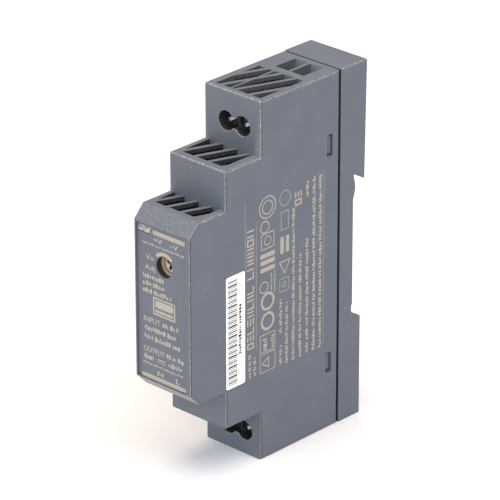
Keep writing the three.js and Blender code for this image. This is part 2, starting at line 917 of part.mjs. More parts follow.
// the groove that is rolled round a can, made as a ring to cut away
function grooveRing(cylinder, radius, start) {
  const end = start + canGrooveWidth;
  return cut(
    cylinder(radius + cutOver, [start, end]),
    cylinder(radius - canGrooveDepth, [start - cutOver, end + cutOver]),
  );
}

// an electrolytic can on its side, with both leads bent down to the board
function canLying({ y: [y0, y1], z, radius, leadPitch }) {
  const x = partsLeft + radius;
  const cylinder = (size, range) => cylinderY(x, z, size, range);
  const groove = grooveRing(cylinder, radius, y1 - lyingGrooveSetback);
  const bend = y1 + lyingLeadBend;
  const leads = [-leadPitch / 2, leadPitch / 2].map((dz) => {
    const across = about(z + dz, leadRadius);
    return union(
      box(about(x, leadRadius), [y1 - slidingGap, bend + leadRadius], across),
      box([partsLeft, x + leadRadius], about(bend, leadRadius), across),
      lead(bend, z + dz, partsLeft + slidingGap),
    );
  });
  return union(cut(cylinder(radius, [y0, y1]), groove), ...leads);
}

function canStanding({ y, z, radius, height, leadPitch }) {
  const cylinder = (size, range) => cylinderX(y, z, size, range);
  const can = cylinder(radius, [partsLeft, partsLeft + height]);
  const groove = grooveRing(cylinder, radius, partsLeft + standingGrooveRise);
  return boardPart(cut(can, groove), [[y, z - leadPitch / 2], [y, z + leadPitch / 2]]);
}

// transformer: an E-E core whose middle leg runs front to back through the bobbin
const transformerX = 0.7;
const transformerY = -27;
const transformerZ = 3;
const coreThickness = 5;
const coreHalfLength = 7;
const coreHalfHeight = 8;
const coreLegHalf = 2;
const coreYoke = 2;
const coreOuterLeg = 2.1;
const bobbinTubeWall = 0.6;
const bobbinFlangeThickness = 0.6;
const bobbinFlangeHalfX = 5.5;
const bobbinFlangeHalfZ = 5.5;
const bobbinPinsZ = [-4.5, -1.5, 1.5, 4.5];

function transformerBox(halfX, halfY, halfZ) {
  return box(
    about(transformerX, halfX),
    about(transformerY, halfY),
    about(transformerZ, halfZ),
  );
}

function transformerCore() {
  const half = coreThickness / 2;
  const windowHalfY = coreHalfLength - coreYoke;
  const windowOuterZ = coreHalfHeight - coreOuterLeg;
  const body = transformerBox(half, coreHalfLength, coreHalfHeight);
  const windows = [-1, 1].map((side) =>
    box(
      about(transformerX, half + cutOver),
      about(transformerY, windowHalfY),
      [transformerZ + side * coreLegHalf, transformerZ + side * windowOuterZ],
    ),
  );
  return cut(body, ...windows);
}

const windingInset = 0.15;       // inside the bobbin's flanges
const tubeInnerX = coreThickness / 2 + slidingGap;
const tubeInnerZ = coreLegHalf + slidingGap;
const tubeOuterX = tubeInnerX + bobbinTubeWall;
const tubeOuterZ = tubeInnerZ + bobbinTubeWall;
const bobbinHalfLength = coreHalfLength - coreYoke - slidingGap;

function transformerBobbin() {
  const tube = transformerBox(tubeOuterX, bobbinHalfLength, tubeOuterZ);
  const flanges = [-1, 1].map((side) => {
    const outer = transformerY + side * bobbinHalfLength;
    return box(
      about(transformerX, bobbinFlangeHalfX),
      [outer - side * bobbinFlangeThickness, outer],
      about(transformerZ, bobbinFlangeHalfZ),
    );
  });
  const legHole = transformerBox(tubeInnerX, bobbinHalfLength + cutOver, tubeInnerZ);
  const pins = [];
  for (const side of [-1, 1]) {
    const y = transformerY + side * (bobbinHalfLength - bobbinFlangeThickness / 2);
    for (const dz of bobbinPinsZ) {
      pins.push(lead(y, transformerZ + dz, transformerX - bobbinFlangeHalfX + slidingGap));
    }
  }
  return union(cut(union(tube, ...flanges), legHole), ...pins);
}

function transformerWinding() {
  const halfLength = bobbinHalfLength - bobbinFlangeThickness - slidingGap;
  const outer = transformerBox(
    bobbinFlangeHalfX - windingInset,
    halfLength,
    bobbinFlangeHalfZ - windingInset,
  );
  const inner = transformerBox(
    tubeOuterX + slidingGap,
    halfLength + cutOver,
    tubeOuterZ + slidingGap,
  );
  return cut(outer, inner);
}

// output choke: a drum core that stands on the board, wound around its waist
const drumY = -24.5;
const drumZ = 18;
const drumRadius = 3.4;
const drumHeight = 9;
const drumWaist = 1.6;
const drumFlange = 1.2;
const drumLead = 2.2;            // each lead from the drum's axis
const drumWindingInset = 0.2;    // inside the drum's flanges

function outputChokeCore() {
  const top = partsLeft + drumHeight;
  const body = union(
    cylinderX(drumY, drumZ, drumRadius, [partsLeft, partsLeft + drumFlange], 20),
    cylinderX(drumY, drumZ, drumRadius, [top - drumFlange, top], 20),
    cylinderX(drumY, drumZ, drumWaist, [partsLeft + drumFlange / 2, top - drumFlange / 2], 16),
  );
  return boardPart(body, [[drumY, drumZ - drumLead], [drumY, drumZ + drumLead]]);
}

function outputChokeWinding() {
  const xRange = [
    partsLeft + drumFlange + slidingGap,
    partsLeft + drumHeight - drumFlange - slidingGap,
  ];
  const through = [xRange[0] - cutOver, xRange[1] + cutOver];
  const outer = cylinderX(drumY, drumZ, drumRadius - drumWindingInset, xRange, 20);
  const inner = cylinderX(drumY, drumZ, drumWaist + slidingGap, through, 16);
  return cut(outer, inner);
}

// common mode choke: a ring core flat on the board, with one winding on each half
const ringY = -46.0;
const ringZ = -15.3;
const ringOuter = 3.3;
const ringInner = 1.7;
const ringHeight = 3.2;
const ringLift = 0.9;
const windingThickness = 0.6;
const windingSplit = 0.8;        // each half's edge from the ring's middle
const windingLead = 1.2;         // each lead from the half's middle
const windingLeadInset = 0.4;    // leads inside the ring's outer edge

function ringSolid(outer, inner, [x0, x1]) {
  return cut(
    cylinderX(ringY, ringZ, outer, [x0, x1], 20),
    cylinderX(ringY, ringZ, inner, [x0 - cutOver, x1 + cutOver], 16),
  );
}

const ringX = [partsLeft + ringLift, partsLeft + ringLift + ringHeight];

function commonModeCore() {
  return ringSolid(ringOuter, ringInner, ringX);
}

function commonModeWinding(side) {
  const gap = slidingGap / 2;
  const grown = gap + windingThickness;
  const outer = ringSolid(ringOuter + grown, ringInner - grown, [
    ringX[0] - grown,
    ringX[1] + grown,
  ]);
  const clearance = ringSolid(ringOuter + gap, ringInner - gap, [ringX[0] - gap, ringX[1] + gap]);
  const half = box(
    [partsLeft - cutOver, ringX[1] + grown + cutOver],
    about(ringY, ringOuter + grown + cutOver),
    [ringZ + side * windingSplit, ringZ + side * (ringOuter + grown + cutOver)],
  );
  const winding = outer.subtract(clearance).intersect(half);
  const z = ringZ + side * (ringOuter - windingLeadInset);
  const leads = about(ringY, windingLead).map((y) => lead(y, z, ringX[0] - gap - blend));
  return union(winding, ...leads);
}

// a coated disc that stands across the board, on two leads
function disc({ y, z, radius, thickness, leadPitch }) {
  const body = cylinderY(partsLeft + radius, z, radius, about(y, thickness / 2), 20);
  const leads = about(z, leadPitch / 2).map((leadZ) => lead(y, leadZ, partsLeft + radius));
  return union(body, ...leads);
}

// Where the other parts stand on the board. A box part has the ranges of its body and the places
// of its leads; heights are above the board's parts side.
const layout = {
  bulkCapacitor: { y: [-31.5, -13.5], z: -16.3, radius: 4.9, leadPitch: 5 },
  outputCapacitorUpper: { y: -36.6, z: 25.2, radius: 3.9, height: 11.6, leadPitch: 3.5 },
  outputCapacitorLower: { y: -36.6, z: 16.6, radius: 3.9, height: 11.6, leadPitch: 3.5 },
  yCapacitor: { y: -13.4, z: 12.6, radius: 3.2, thickness: 2.4, leadPitch: 4.5 },
  inrushThermistor: { y: -8.4, z: -6.5, radius: 3.5, thickness: 2.6, leadPitch: 5 },
  surgeVaristor: { y: -17.4, z: -6.5, radius: 3.5, thickness: 2.8, leadPitch: 5 },
  fuse: { y: -21.5, z: -27.2, radius: 4.1, height: 7.7, leadPitch: 5 },
  voltageReference: { y: -21.5, z: 27.3, radius: 2.3, lift: 2, height: 4.6, flat: 1.1, leadPitch: 1.27 },
  xCapacitor: {
    height: 10.5,
    y: [-40.6, -28.0],
    z: [-30.6, -24.6],
    leads: [[-39.3, -27.6], [-29.3, -27.6]],
  },
  bridgeRectifier: {
    height: 3.4,
    y: [-10.9, -6.4],
    z: [-23.5, -13.5],
    leads: [[-10.0, -22.2], [-7.3, -22.2], [-10.0, -14.8], [-7.3, -14.8]],
  },
  switchingTransistor: {
    height: 4.4,
    y: [-45.0, -35.2],
    z: [-8.6, 6.2],
    leads: [[-42.6, -7.4], [-40.1, -7.4], [-37.6, -7.4]],
    screwHole: { z: 2.6, radius: 1.6 },
  },
  outputRectifier: {
    height: 2.4,
    y: [-16.4, -9.8],
    z: [17.4, 23.6],
    leads: [[-10.9, 18.4], [-10.9, 22.6]],
    tab: { reach: 1.2, thickness: 0.8, inset: 0.5 },
  },
  controllerChip: {
    height: 1.6,
    y: [-15.2, -10.9],
    z: [-8.8, -4.2],
    leads: [[-14.6, -8.3], [-11.5, -8.3], [-14.6, -4.7], [-11.5, -4.7]],
  },
  optocoupler: {
    height: 3.5,
    y: [-17.2, -10.8],
    z: [3.2, 7.8],
    leads: [[-16.5, 4.2], [-16.5, 6.8], [-11.5, 4.2], [-11.5, 6.8]],
  },
};

function boxBody({ height, y, z }) {
  return box([partsLeft, partsLeft + height], y, z);
}

function boxPart(place) {
  return boardPart(boxBody(place), place.leads);
}

function fuse({ y, z, radius, height, leadPitch }) {
  const body = cylinderX(y, z, radius, [partsLeft, partsLeft + height], 24);
  return boardPart(body, [[y - leadPitch / 2, z], [y + leadPitch / 2, z]]);
}

// its heat sink face has a hole for a screw
function switchingTransistor(place) {
  const { y, height, screwHole, leads } = place;
  const through = [partsLeft - cutOver, partsLeft + height + cutOver];
  const hole = cylinderX((y[0] + y[1]) / 2, screwHole.z, screwHole.radius, through, 16);
  return boardPart(cut(boxBody(place), hole), leads);
}

// its cooling tab stands out in front
function outputRectifier(place) {
  const { y, z, tab, leads } = place;
  const plate = box(
    [partsLeft, partsLeft + tab.thickness],
    [y[0] - tab.reach, y[0] + slidingGap],
    [z[0] + tab.inset, z[1] - tab.inset],
  );
  return boardPart(union(boxBody(place), plate), leads);
}

// a three-legged can with one flat side
function voltageReference({ y, z, radius, lift, height, flat, leadPitch }) {
  const can = cylinderX(y, z, radius, [partsLeft + lift, partsLeft + lift + height], 16);
  const beyond = box(
    [partsLeft, partsLeft + lift + height + cutOver],
    about(y, radius + cutOver),
    [z + flat, z + radius + cutOver],
  );
  const legs = [-1, 0, 1].map((place) =>
    lead(y + place * leadPitch, z, partsLeft + lift + slidingGap),
  );
  return union(cut(can, beyond), ...legs);
}

// ---------------------------------------------------------------------------
// Trimmer, indicator and label
// ---------------------------------------------------------------------------

const rotorFrontY = panelY + rotorSetback;
const rotorBackY = rotorFrontY + rotorThickness;
const rotorWellEndY = rotorBackY + slidingGap;
const flangeBackY = frontInnerY + lightPipeFlangeDepth;
const stemBackY = flangeBackY + lightPipeStem;

// a square body with a round well, in which the rotor is sunk
function trimmerBody() {
  const half = trimmerBodySide / 2;
  const front = frontInnerY + slidingGap;
  const back = rotorWellEndY + trimmerBodyDepth;
  const body = box(about(trimmerX, half), [front, back], about(trimmerZ, half));
  const rotorWell = [front - cutOver, rotorWellEndY];
  const shaftWell = [rotorWellEndY - blend, rotorBackY + rotorShaftLength + slidingGap];
  const wells = union(
    cylinderY(trimmerX, trimmerZ, rotorRadius + rotorWellGap, rotorWell, 32),
    cylinderY(trimmerX, trimmerZ, rotorShaftRadius + runningGap, shaftWell),
  );
  const leads = [-1, 0, 1].map((place) =>
    lead(back - trimmerLeadSetback, trimmerZ + place * trimmerLeadPitch, trimmerX - half + slidingGap),
  );
  return union(cut(body, wells), ...leads);
}

function trimmerRotor() {
  const face = cylinderY(0, 0, rotorRadius, [rotorFrontY, rotorBackY], 32);
  const shaftEndY = rotorBackY + rotorShaftLength;
  const shaft = cylinderY(0, 0, rotorShaftRadius, [rotorBackY - blend, shaftEndY], 24);
  const yRange = [rotorFrontY - cutOver, rotorFrontY + rotorSlotDepth];
  const long = about(0, rotorSlotReach);
  const short = about(0, rotorSlotHalf);
  return cut(union(face, shaft), box(long, yRange, short), box(short, yRange, long));
}

// a clear plate in the window, with a flange behind the front wall and a stem to the indicator
function lightPipe() {
  const head = box(
    [windowLeft + lightPipeGap, windowRight - lightPipeGap],
    [panelY + blend, frontInnerY + blend],
    [windowBottomZ + lightPipeGap, windowTopZ - lightPipeGap],
  );
  const flange = box(
    [-innerHalfWidth + boardGapToWall, windowRight + lightPipeFlange],
    [frontInnerY + blend / 2, flangeBackY],
    [windowBottomZ - lightPipeFlange, windowTopZ + lightPipeFlange],
  );
  const stem = box(
    [partsLeft, windowRight],
    [flangeBackY - blend, stemBackY],
    [windowBottomZ + lightPipeGap, windowTopZ - lightPipeGap],
  );
  return union(head, flange, stem);
}

// a side-looking indicator: a small square body with a round lens
function indicatorLed() {
  const z = (windowBottomZ + windowTopZ) / 2;
  const lensFrontY = stemBackY + slidingGap;
  const bodyFrontY = lensFrontY + ledLensLength;
  const lensX = partsLeft + ledHeight / 2;
  const lens = cylinderY(lensX, z, ledLensRadius, [lensFrontY, bodyFrontY + blend], 12);
  const body = box(
    [partsLeft, partsLeft + ledHeight],
    [bodyFrontY, bodyFrontY + ledDepth],
    about(z, ledHalfWidth),
  );
  const leadY = bodyFrontY + ledDepth / 2;
  return boardPart(union(lens, body), about(z, ledLensRadius).map((leadZ) => [leadY, leadZ]));
}

function sideLabel() {
  const outside = halfWidth - labelSetback;
  return box([outside - labelThickness, outside], [labelFrontY, labelBackY], [labelBottomZ, labelTopZ]);
}

// ---------------------------------------------------------------------------
// Assembly
// ---------------------------------------------------------------------------

const powerSupply = new THREE.Group();

powerSupply.add(
  meshOf('front_housing', frontHousing(), greyPlastic),
  meshOf('rear_base', rearBase(), greyPlastic),
  meshOf('rail_latch', railLatch(), latchPlastic),
  meshOf('latch_spring', latchSpring(), springSteel, [0, springAxisY, 0]),
  meshOf('light_pipe', lightPipe(), lightPipePlastic),
  meshOf('side_label', sideLabel(), labelPaper),
);

for (const [endName, end] of Object.entries(ends)) {
  const terminals = new THREE.Group();
  terminals.add(meshOf(`${endName}_terminal_block`, terminalBlock(end), terminalPlastic));
  for (const pole of polesOf(end)) {
    const place = new THREE.Group();
    place.position.set(pole.x, 0, end.screwZ);
    place.add(
      meshOf(`${endName}_screw_${pole.name}`, terminalScrew(), platedSteel),
      meshOf(`${endName}_clamp_${pole.name}`, risingClamp(), tinnedBrass),
      meshOf(`${endName}_contact_${pole.name}`, contactBar(end, pole), tinnedBrass),
    );
    terminals.add(place);
  }
  powerSupply.add(terminals);
}

const boardParts = new THREE.Group();
boardParts.add(
  meshOf('trimmer_body', trimmerBody(), trimmerPlastic),
  meshOf('trimmer_rotor', trimmerRotor(), rotorPlastic, [trimmerX, 0, trimmerZ]),
  meshOf('indicator_led', indicatorLed(), ledPlastic),
  meshOf('transformer_core', transformerCore(), ferrite),
  meshOf('transformer_bobbin', transformerBobbin(), bobbinPlastic),
  meshOf('transformer_winding', transformerWinding(), windingTape),
  meshOf('bulk_capacitor', canLying(layout.bulkCapacitor), canSleeve),
  meshOf('output_capacitor_upper', canStanding(layout.outputCapacitorUpper), canSleeve),
  meshOf('output_capacitor_lower', canStanding(layout.outputCapacitorLower), canSleeve),
  meshOf('output_choke_core', outputChokeCore(), ferrite),
  meshOf('output_choke_winding', outputChokeWinding(), magnetWire),
  meshOf('common_mode_core', commonModeCore(), ferrite),
  meshOf('common_mode_winding_upper', commonModeWinding(1), magnetWire),
  meshOf('common_mode_winding_lower', commonModeWinding(-1), magnetWire),
  meshOf('x_capacitor', boxPart(layout.xCapacitor), yellowPlastic),
  meshOf('y_capacitor', disc(layout.yCapacitor), blueCoating),
  meshOf('fuse', fuse(layout.fuse), fusePlastic),
  meshOf('inrush_thermistor', disc(layout.inrushThermistor), greenCoating),
  meshOf('surge_varistor', disc(layout.surgeVaristor), blueCoating),
  meshOf('bridge_rectifier', boxPart(layout.bridgeRectifier), chipPlastic),
  meshOf('switching_transistor', switchingTransistor(layout.switchingTransistor), chipPlastic),
  meshOf('output_rectifier', outputRectifier(layout.outputRectifier), chipPlastic),
  meshOf('controller_chip', boxPart(layout.controllerChip), chipPlastic),
  meshOf('optocoupler', boxPart(layout.optocoupler), boxPlastic),
  meshOf('voltage_reference', voltageReference(layout.voltageReference), chipPlastic),
);
boardParts.add(meshOf('circuit_board', circuitBoard(), boardLaminate));
powerSupply.add(boardParts);

export default powerSupply;
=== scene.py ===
import json
import math
import random

import bmesh
import bpy
from mathutils import Matrix, Vector


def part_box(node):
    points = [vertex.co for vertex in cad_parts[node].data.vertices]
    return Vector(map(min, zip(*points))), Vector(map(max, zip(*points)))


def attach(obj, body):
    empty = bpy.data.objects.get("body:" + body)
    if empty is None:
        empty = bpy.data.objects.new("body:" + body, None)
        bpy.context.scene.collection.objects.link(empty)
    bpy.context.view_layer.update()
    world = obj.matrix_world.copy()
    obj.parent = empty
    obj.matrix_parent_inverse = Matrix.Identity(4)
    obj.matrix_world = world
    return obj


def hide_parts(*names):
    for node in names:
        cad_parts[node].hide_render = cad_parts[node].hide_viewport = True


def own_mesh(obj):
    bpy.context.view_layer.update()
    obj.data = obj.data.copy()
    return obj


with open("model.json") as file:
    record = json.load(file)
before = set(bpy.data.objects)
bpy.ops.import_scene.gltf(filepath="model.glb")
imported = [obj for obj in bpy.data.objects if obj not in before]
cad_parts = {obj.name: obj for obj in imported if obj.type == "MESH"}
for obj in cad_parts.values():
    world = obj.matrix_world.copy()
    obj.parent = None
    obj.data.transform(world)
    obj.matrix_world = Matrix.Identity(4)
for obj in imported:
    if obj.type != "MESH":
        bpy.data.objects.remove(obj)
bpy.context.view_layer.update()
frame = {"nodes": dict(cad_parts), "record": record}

# ---------------------------------------------------------------------------
# Sizes, in metres
# ---------------------------------------------------------------------------

MM = 0.001
INK = 0.012 * MM            # thickness of the printed marks
SIDE_TUCK = 0.015 * MM      # the printed side lies this far inside the device's width
EDGE = 0.12 * MM            # moulded edges that the solids leave sharp
BROAD_EDGE = 0.3 * MM       # the broader front edges of the upper ledges, which carry a painted highlight
HOLE_EDGE = 0.16 * MM       # the rims of the screwdriver holes
FINE_EDGE = 0.06 * MM       # stamped and small moulded pieces
SHARP = math.radians(30)    # an edge that turns more than this is rounded

housing_low, housing_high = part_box("front_housing")
base_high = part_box("rear_base")[1]
label_low, label_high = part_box("side_label")
rotor_low, rotor_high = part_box("trimmer_rotor")
spring_low, spring_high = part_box("latch_spring")

side_x = housing_high.x
front_y = housing_low.y
panel_y = front_y + 0.5 * MM
nose_top_z = 22.0 * MM
nose_flat_top_z = 18.8 * MM
nose_flat_bottom_z = -20.2 * MM
nose_bottom_z = -23.3 * MM
mid_top_z = 31.52 * MM
mid_bottom_z = -32.73 * MM
mid_face_y = -42.87 * MM
tier_face_y = -31.33 * MM
wall = 1.5 * MM
trimmer_x = (rotor_low.x + rotor_high.x) / 2
trimmer_z = (rotor_low.z + rotor_high.z) / 2

# each louvred opening: the z of its outer face, and its ranges of x and y in millimetres
VENTS = [
    (z, x_range, y_range)
    for z_pair, x_range, y_range in (
        ((nose_top_z, nose_bottom_z), (-7.2, 6.9), (-49.7, -42.87)),
        ((mid_top_z, mid_bottom_z), (-7.2, 6.25), (-40.8, -31.33)),
        ((housing_high.z, housing_low.z), (-6.6, 7.2), (-29.75, -15.5)),
    )
    for z in z_pair
]
TIER_VENTS = VENTS[4:]

SCREWS = ("output_screw_plus", "output_screw_minus", "input_screw_neutral", "input_screw_line")


# ---------------------------------------------------------------------------
# Working with objects
# ---------------------------------------------------------------------------

def deselect_all():
    for obj in bpy.context.selected_objects:
        obj.select_set(False)


def select_only(*objs):
    deselect_all()
    for obj in objs:
        obj.select_set(True)
    bpy.context.view_layer.objects.active = objs[0]


def added(name):
    """The object that the last operator added, under its new name."""
    piece = bpy.context.active_object
    piece.name = name
    piece.data.name = name
    return piece


def settle(piece, *others):
    """Puts the place of each piece into its mesh."""
    select_only(piece, *others)
    bpy.ops.object.transform_apply(location=True, rotation=True, scale=True)
    return piece


def joined(name, pieces):
    select_only(*pieces)
    bpy.ops.object.join()
    return added(name)


def apply_modifier(piece, kind, **settings):
    modifier = piece.modifiers.new(kind.title(), kind)
    for key, value in settings.items():
        setattr(modifier, key, value)
    select_only(piece)
    bpy.ops.object.modifier_apply(modifier=modifier.name)
    return piece


def round_edges(piece, width, width_at=None):
    """Rounds the outward edges, with their own width at some places; inward corners stay sharp."""
    mesh = bmesh.new()
    mesh.from_mesh(piece.data)
    weight = mesh.edges.layers.float.new("bevel_weight_edge")
    for edge in mesh.edges:
        if edge.is_manifold and edge.calc_face_angle_signed() > SHARP:
            middle = (edge.verts[0].co + edge.verts[1].co) / 2
            own = width_at(middle) if width_at else None
            edge[weight] = (own or width) / BROAD_EDGE
    mesh.to_mesh(piece.data)
    mesh.free()
    return apply_modifier(
        piece, "BEVEL", width=BROAD_EDGE, segments=2, limit_method="WEIGHT",
        use_clamp_overlap=False, profile=0.6,
    )


def smooth(piece, angle=40):
    select_only(piece)
    bpy.ops.object.shade_smooth_by_angle(angle=math.radians(angle))
    apply_modifier(piece, "WEIGHTED_NORMAL", keep_sharp=True, weight=80)
    return piece


def cut_away(piece, *cutters):
    for cutter in cutters:
        apply_modifier(piece, "BOOLEAN", operation="DIFFERENCE", solver="EXACT", object=cutter)
        bpy.data.objects.remove(cutter, do_unlink=True)
    return piece


def edit_all(piece):
    select_only(piece)
    bpy.ops.object.mode_set(mode="EDIT")
    bpy.ops.mesh.select_all(action="SELECT")


def done_editing():
    bpy.ops.object.mode_set(mode="OBJECT")


def copy_of_node(node, name):
    """A merged copy of a CAD node's mesh, with its flat faces made whole."""
    piece = bpy.data.objects.new(name, frame["nodes"][node].data.copy())
    piece.data.name = name
    piece.data.materials.clear()
    bpy.context.scene.collection.objects.link(piece)
    edit_all(piece)
    bpy.ops.mesh.remove_doubles(threshold=0.001 * MM)
    bpy.ops.mesh.dissolve_limited(angle_limit=math.radians(0.5), use_dissolve_boundaries=False)
    done_editing()
    return piece


def block(name, low, high):
    low, high = Vector(low), Vector(high)
    bpy.ops.mesh.primitive_cube_add(size=1, location=(low + high) / 2, scale=high - low)
    return settle(added(name))


def rod(name, centre, radius, depth, sides=48):
    """A cylinder along Y."""
    bpy.ops.mesh.primitive_cylinder_add(
        vertices=sides, radius=radius, depth=depth, location=centre, rotation=(math.pi / 2, 0, 0))
    return settle(added(name))


def stand_for(piece, body, slot, finishes, *nodes):
    """The piece rides on its body, has its finishes and stands for these CAD nodes."""
    piece.data.materials.clear()
    for finish in finishes:
        piece.data.materials.append(FINISHES[finish])
    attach(piece, body)
    if nodes:
        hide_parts(*nodes)
    return piece


# ---------------------------------------------------------------------------
# Finishes
# ---------------------------------------------------------------------------

def srgb(red, green, blue):
    def linear(value):
        value /= 255
        return value / 12.92 if value <= 0.04045 else ((value + 0.055) / 1.055) ** 2.4
    return (linear(red), linear(green), linear(blue), 1)


class Finish:
    """A material that is built up node by node on Object coordinates."""

    def __init__(self, name, roughness=0.5, metallic=0.0, **sockets):
        self.material = bpy.data.materials.new(name)
        self.material.use_nodes = True
        self.nodes = self.material.node_tree.nodes
        self.links = self.material.node_tree.links
        self.shader = self.nodes["Principled BSDF"]
        self.shader.inputs["Roughness"].default_value = roughness
        self.shader.inputs["Metallic"].default_value = metallic
        for socket, value in sockets.items():
            self.shader.inputs[socket.replace("_", " ")].default_value = value
        self.coordinates = self.nodes.new("ShaderNodeTexCoord").outputs["Object"]

    def stretched(self, scale):
        mapping = self.nodes.new("ShaderNodeMapping")
        mapping.inputs["Scale"].default_value = scale
        self.links.new(self.coordinates, mapping.inputs["Vector"])
        return mapping.outputs["Vector"]

    def noise(self, size, detail=3, roughness=0.55, stretch=None):
        texture = self.nodes.new("ShaderNodeTexNoise")
        texture.inputs["Scale"].default_value = 1 / size
        texture.inputs["Detail"].default_value = detail
        texture.inputs["Roughness"].default_value = roughness
        self.links.new(self.stretched(stretch) if stretch else self.coordinates, texture.inputs["Vector"])
        return texture.outputs["Fac"]

    def cells(self, size):
        texture = self.nodes.new("ShaderNodeTexVoronoi")
        texture.inputs["Scale"].default_value = 1 / size
        self.links.new(self.coordinates, texture.inputs["Vector"])
        return texture.outputs["Distance"]

    def waves(self, size, direction, distortion=0.0):
        texture = self.nodes.new("ShaderNodeTexWave")
        texture.bands_direction = direction
        texture.inputs["Scale"].default_value = math.tau / 20 / size
        texture.inputs["Distortion"].default_value = distortion
        self.links.new(self.coordinates, texture.inputs["Vector"])
        return texture.outputs["Fac"]

    def ramp(self, factor, *stops):
        ramp = self.nodes.new("ShaderNodeValToRGB")
        elements = ramp.color_ramp.elements
        while len(elements) < len(stops):
            elements.new(0.5)
        for element, (position, colour) in zip(elements, stops):
            element.position = position
            element.color = colour
        self.links.new(factor, ramp.inputs["Fac"])
        return ramp.outputs["Color"]

    def mix(self, factor, first, second):
        mix = self.nodes.new("ShaderNodeMix")
        mix.data_type = "RGBA"
        for socket, value in (("Factor", factor), ("A", first), ("B", second)):
            target = [i for i in mix.inputs if i.name == socket and i.type in ("VALUE", "RGBA")]
            target = target[0] if socket == "Factor" else [i for i in target if i.type == "RGBA"][0]
            if isinstance(value, bpy.types.NodeSocket):
                self.links.new(value, target)
            else:
                target.default_value = value
        return [o for o in mix.outputs if o.type == "RGBA"][0]

    def colour(self, socket):
        self.links.new(socket, self.shader.inputs["Base Color"])

    def rough(self, factor, low, high):
        spread = self.nodes.new("ShaderNodeMapRange")
        spread.inputs["To Min"].default_value = low
        spread.inputs["To Max"].default_value = high
        self.links.new(factor, spread.inputs["Value"])
        self.links.new(spread.outputs["Result"], self.shader.inputs["Roughness"])

    def bump(self, height, depth):
        bump = self.nodes.new("ShaderNodeBump")
        bump.inputs["Distance"].default_value = depth
        bump.inputs["Strength"].default_value = 1
        self.links.new(height, bump.inputs["Height"])
        self.links.new(bump.outputs["Normal"], self.shader.inputs["Normal"])


BLACK, WHITE = (0, 0, 0, 1), (1, 1, 1, 1)


def shades(colour, *factors):
    """The colour made darker or lighter by each factor."""
    return [tuple(min(1, c * factor) for c in colour[:3]) + (1,) for factor in factors]


def moulded(name, colour, grain_depth, roughness=0.55, fleck=1.08, shade=0.93):
    """Moulded plastic: a fine spark grain, faint clouding, and a few pale flecks of dust."""
    finish = Finish(name, roughness, Specular_IOR_Level=0.4)
    colour = srgb(*colour)
    dark, light, pale = shades(colour, shade, fleck, 1.9)
    clouds = finish.noise(9 * MM, 2)
    grain = finish.noise(0.22 * MM, 2, 0.7)
    clouded = finish.ramp(clouds, (0.35, dark), (0.65, light))
    grained = finish.ramp(grain, (0.3, dark), (0.7, light))
    body = finish.mix(0.5, clouded, grained)
    dust = finish.ramp(finish.cells(2.6 * MM), (0.05, WHITE), (0.09, BLACK))
    chosen = finish.ramp(finish.noise(7 * MM, 0), (0.54, BLACK), (0.56, WHITE))
    fleck_mask = finish.mix(dust, BLACK, chosen)
    finish.colour(finish.mix(fleck_mask, body, pale))
    finish.rough(grain, roughness - 0.06, roughness + 0.08)
    finish.bump(grain, grain_depth * MM)
    return finish.material


def sparked(name, colour):
    """The coarse, glittering spark texture of the nose's upper chamfer."""
    finish = Finish(name, 0.42, Specular_IOR_Level=0.5)
    dark, middle, light = shades(srgb(*colour), 0.76, 1, 1.75)
    pits = finish.noise(0.36 * MM, 4, 0.8)
    finish.colour(finish.ramp(pits, (0.38, dark), (0.52, middle), (0.65, light)))
    finish.rough(pits, 0.34, 0.6)
    finish.bump(pits, 0.06 * MM)
    return finish.material


def mottled(name, size, stops, depth, detail=3, grit=0.55, stretch=None, spread=None,
            roughness=0.5, metallic=0.0, **sockets):
    """Colour and relief, and roughness if it spreads, all follow one noise; sizes in millimetres."""
    finish = Finish(name, roughness, metallic, **sockets)
    pattern = finish.noise(size * MM, detail, grit, stretch)
    finish.colour(finish.ramp(pattern, *((place, srgb(*colour)) for place, colour in stops)))
    if spread:
        finish.rough(pattern, *spread)
    finish.bump(pattern, depth * MM)
    return finish.material


def tinned_brass():
    finish = Finish("tinned_brass", 0.34, 1.0)
    patches = finish.noise(0.6 * MM, 4, 0.6)
    finish.colour(finish.ramp(patches, (0.35, srgb(190, 178, 134)), (0.7, srgb(216, 208, 176))))
    finish.rough(patches, 0.26, 0.46)
    finish.bump(finish.noise(0.1 * MM, 2, stretch=(1, 1, 5)), 0.003 * MM)
    return finish.material


def winding_tape():
    finish = Finish("winding_tape", 0.32, Coat_Weight=0.4)
    layers = finish.waves(1.1 * MM, "Y", 0.6)
    finish.colour(finish.ramp(layers, (0.1, srgb(196, 150, 30)), (0.3, srgb(232, 188, 58))))
    finish.bump(layers, 0.03 * MM)
    return finish.material


def magnet_wire():
    finish = Finish("magnet_wire", 0.3, 0.6)
    turns = finish.waves(0.4 * MM, "X")
    finish.colour(finish.ramp(turns, (0.1, srgb(84, 32, 14)), (0.6, srgb(190, 96, 48))))
    finish.bump(turns, 0.12 * MM)
    return finish.material


def board_laminate():
    finish = Finish("board_laminate", 0.35, Coat_Weight=0.4)
    tracks = finish.waves(2.4 * MM, "Z", 5.0)
    weave = finish.noise(0.3 * MM, 2)
    copper = finish.ramp(tracks, (0.42, srgb(16, 44, 26)), (0.5, srgb(26, 62, 36)))
    finish.colour(finish.mix(weave, copper, srgb(18, 48, 28)))
    finish.bump(tracks, 0.02 * MM)
    return finish.material


def lacquer(name, colour):
    finish = Finish(name, 0.25, Coat_Weight=0.6)
    runs = finish.noise(1.2 * MM, 2)
    dark, full = shades(srgb(*colour), 0.75, 1)
    finish.colour(finish.ramp(runs, (0.35, dark), (0.65, full)))
    finish.bump(runs, 0.08 * MM)
    return finish.material


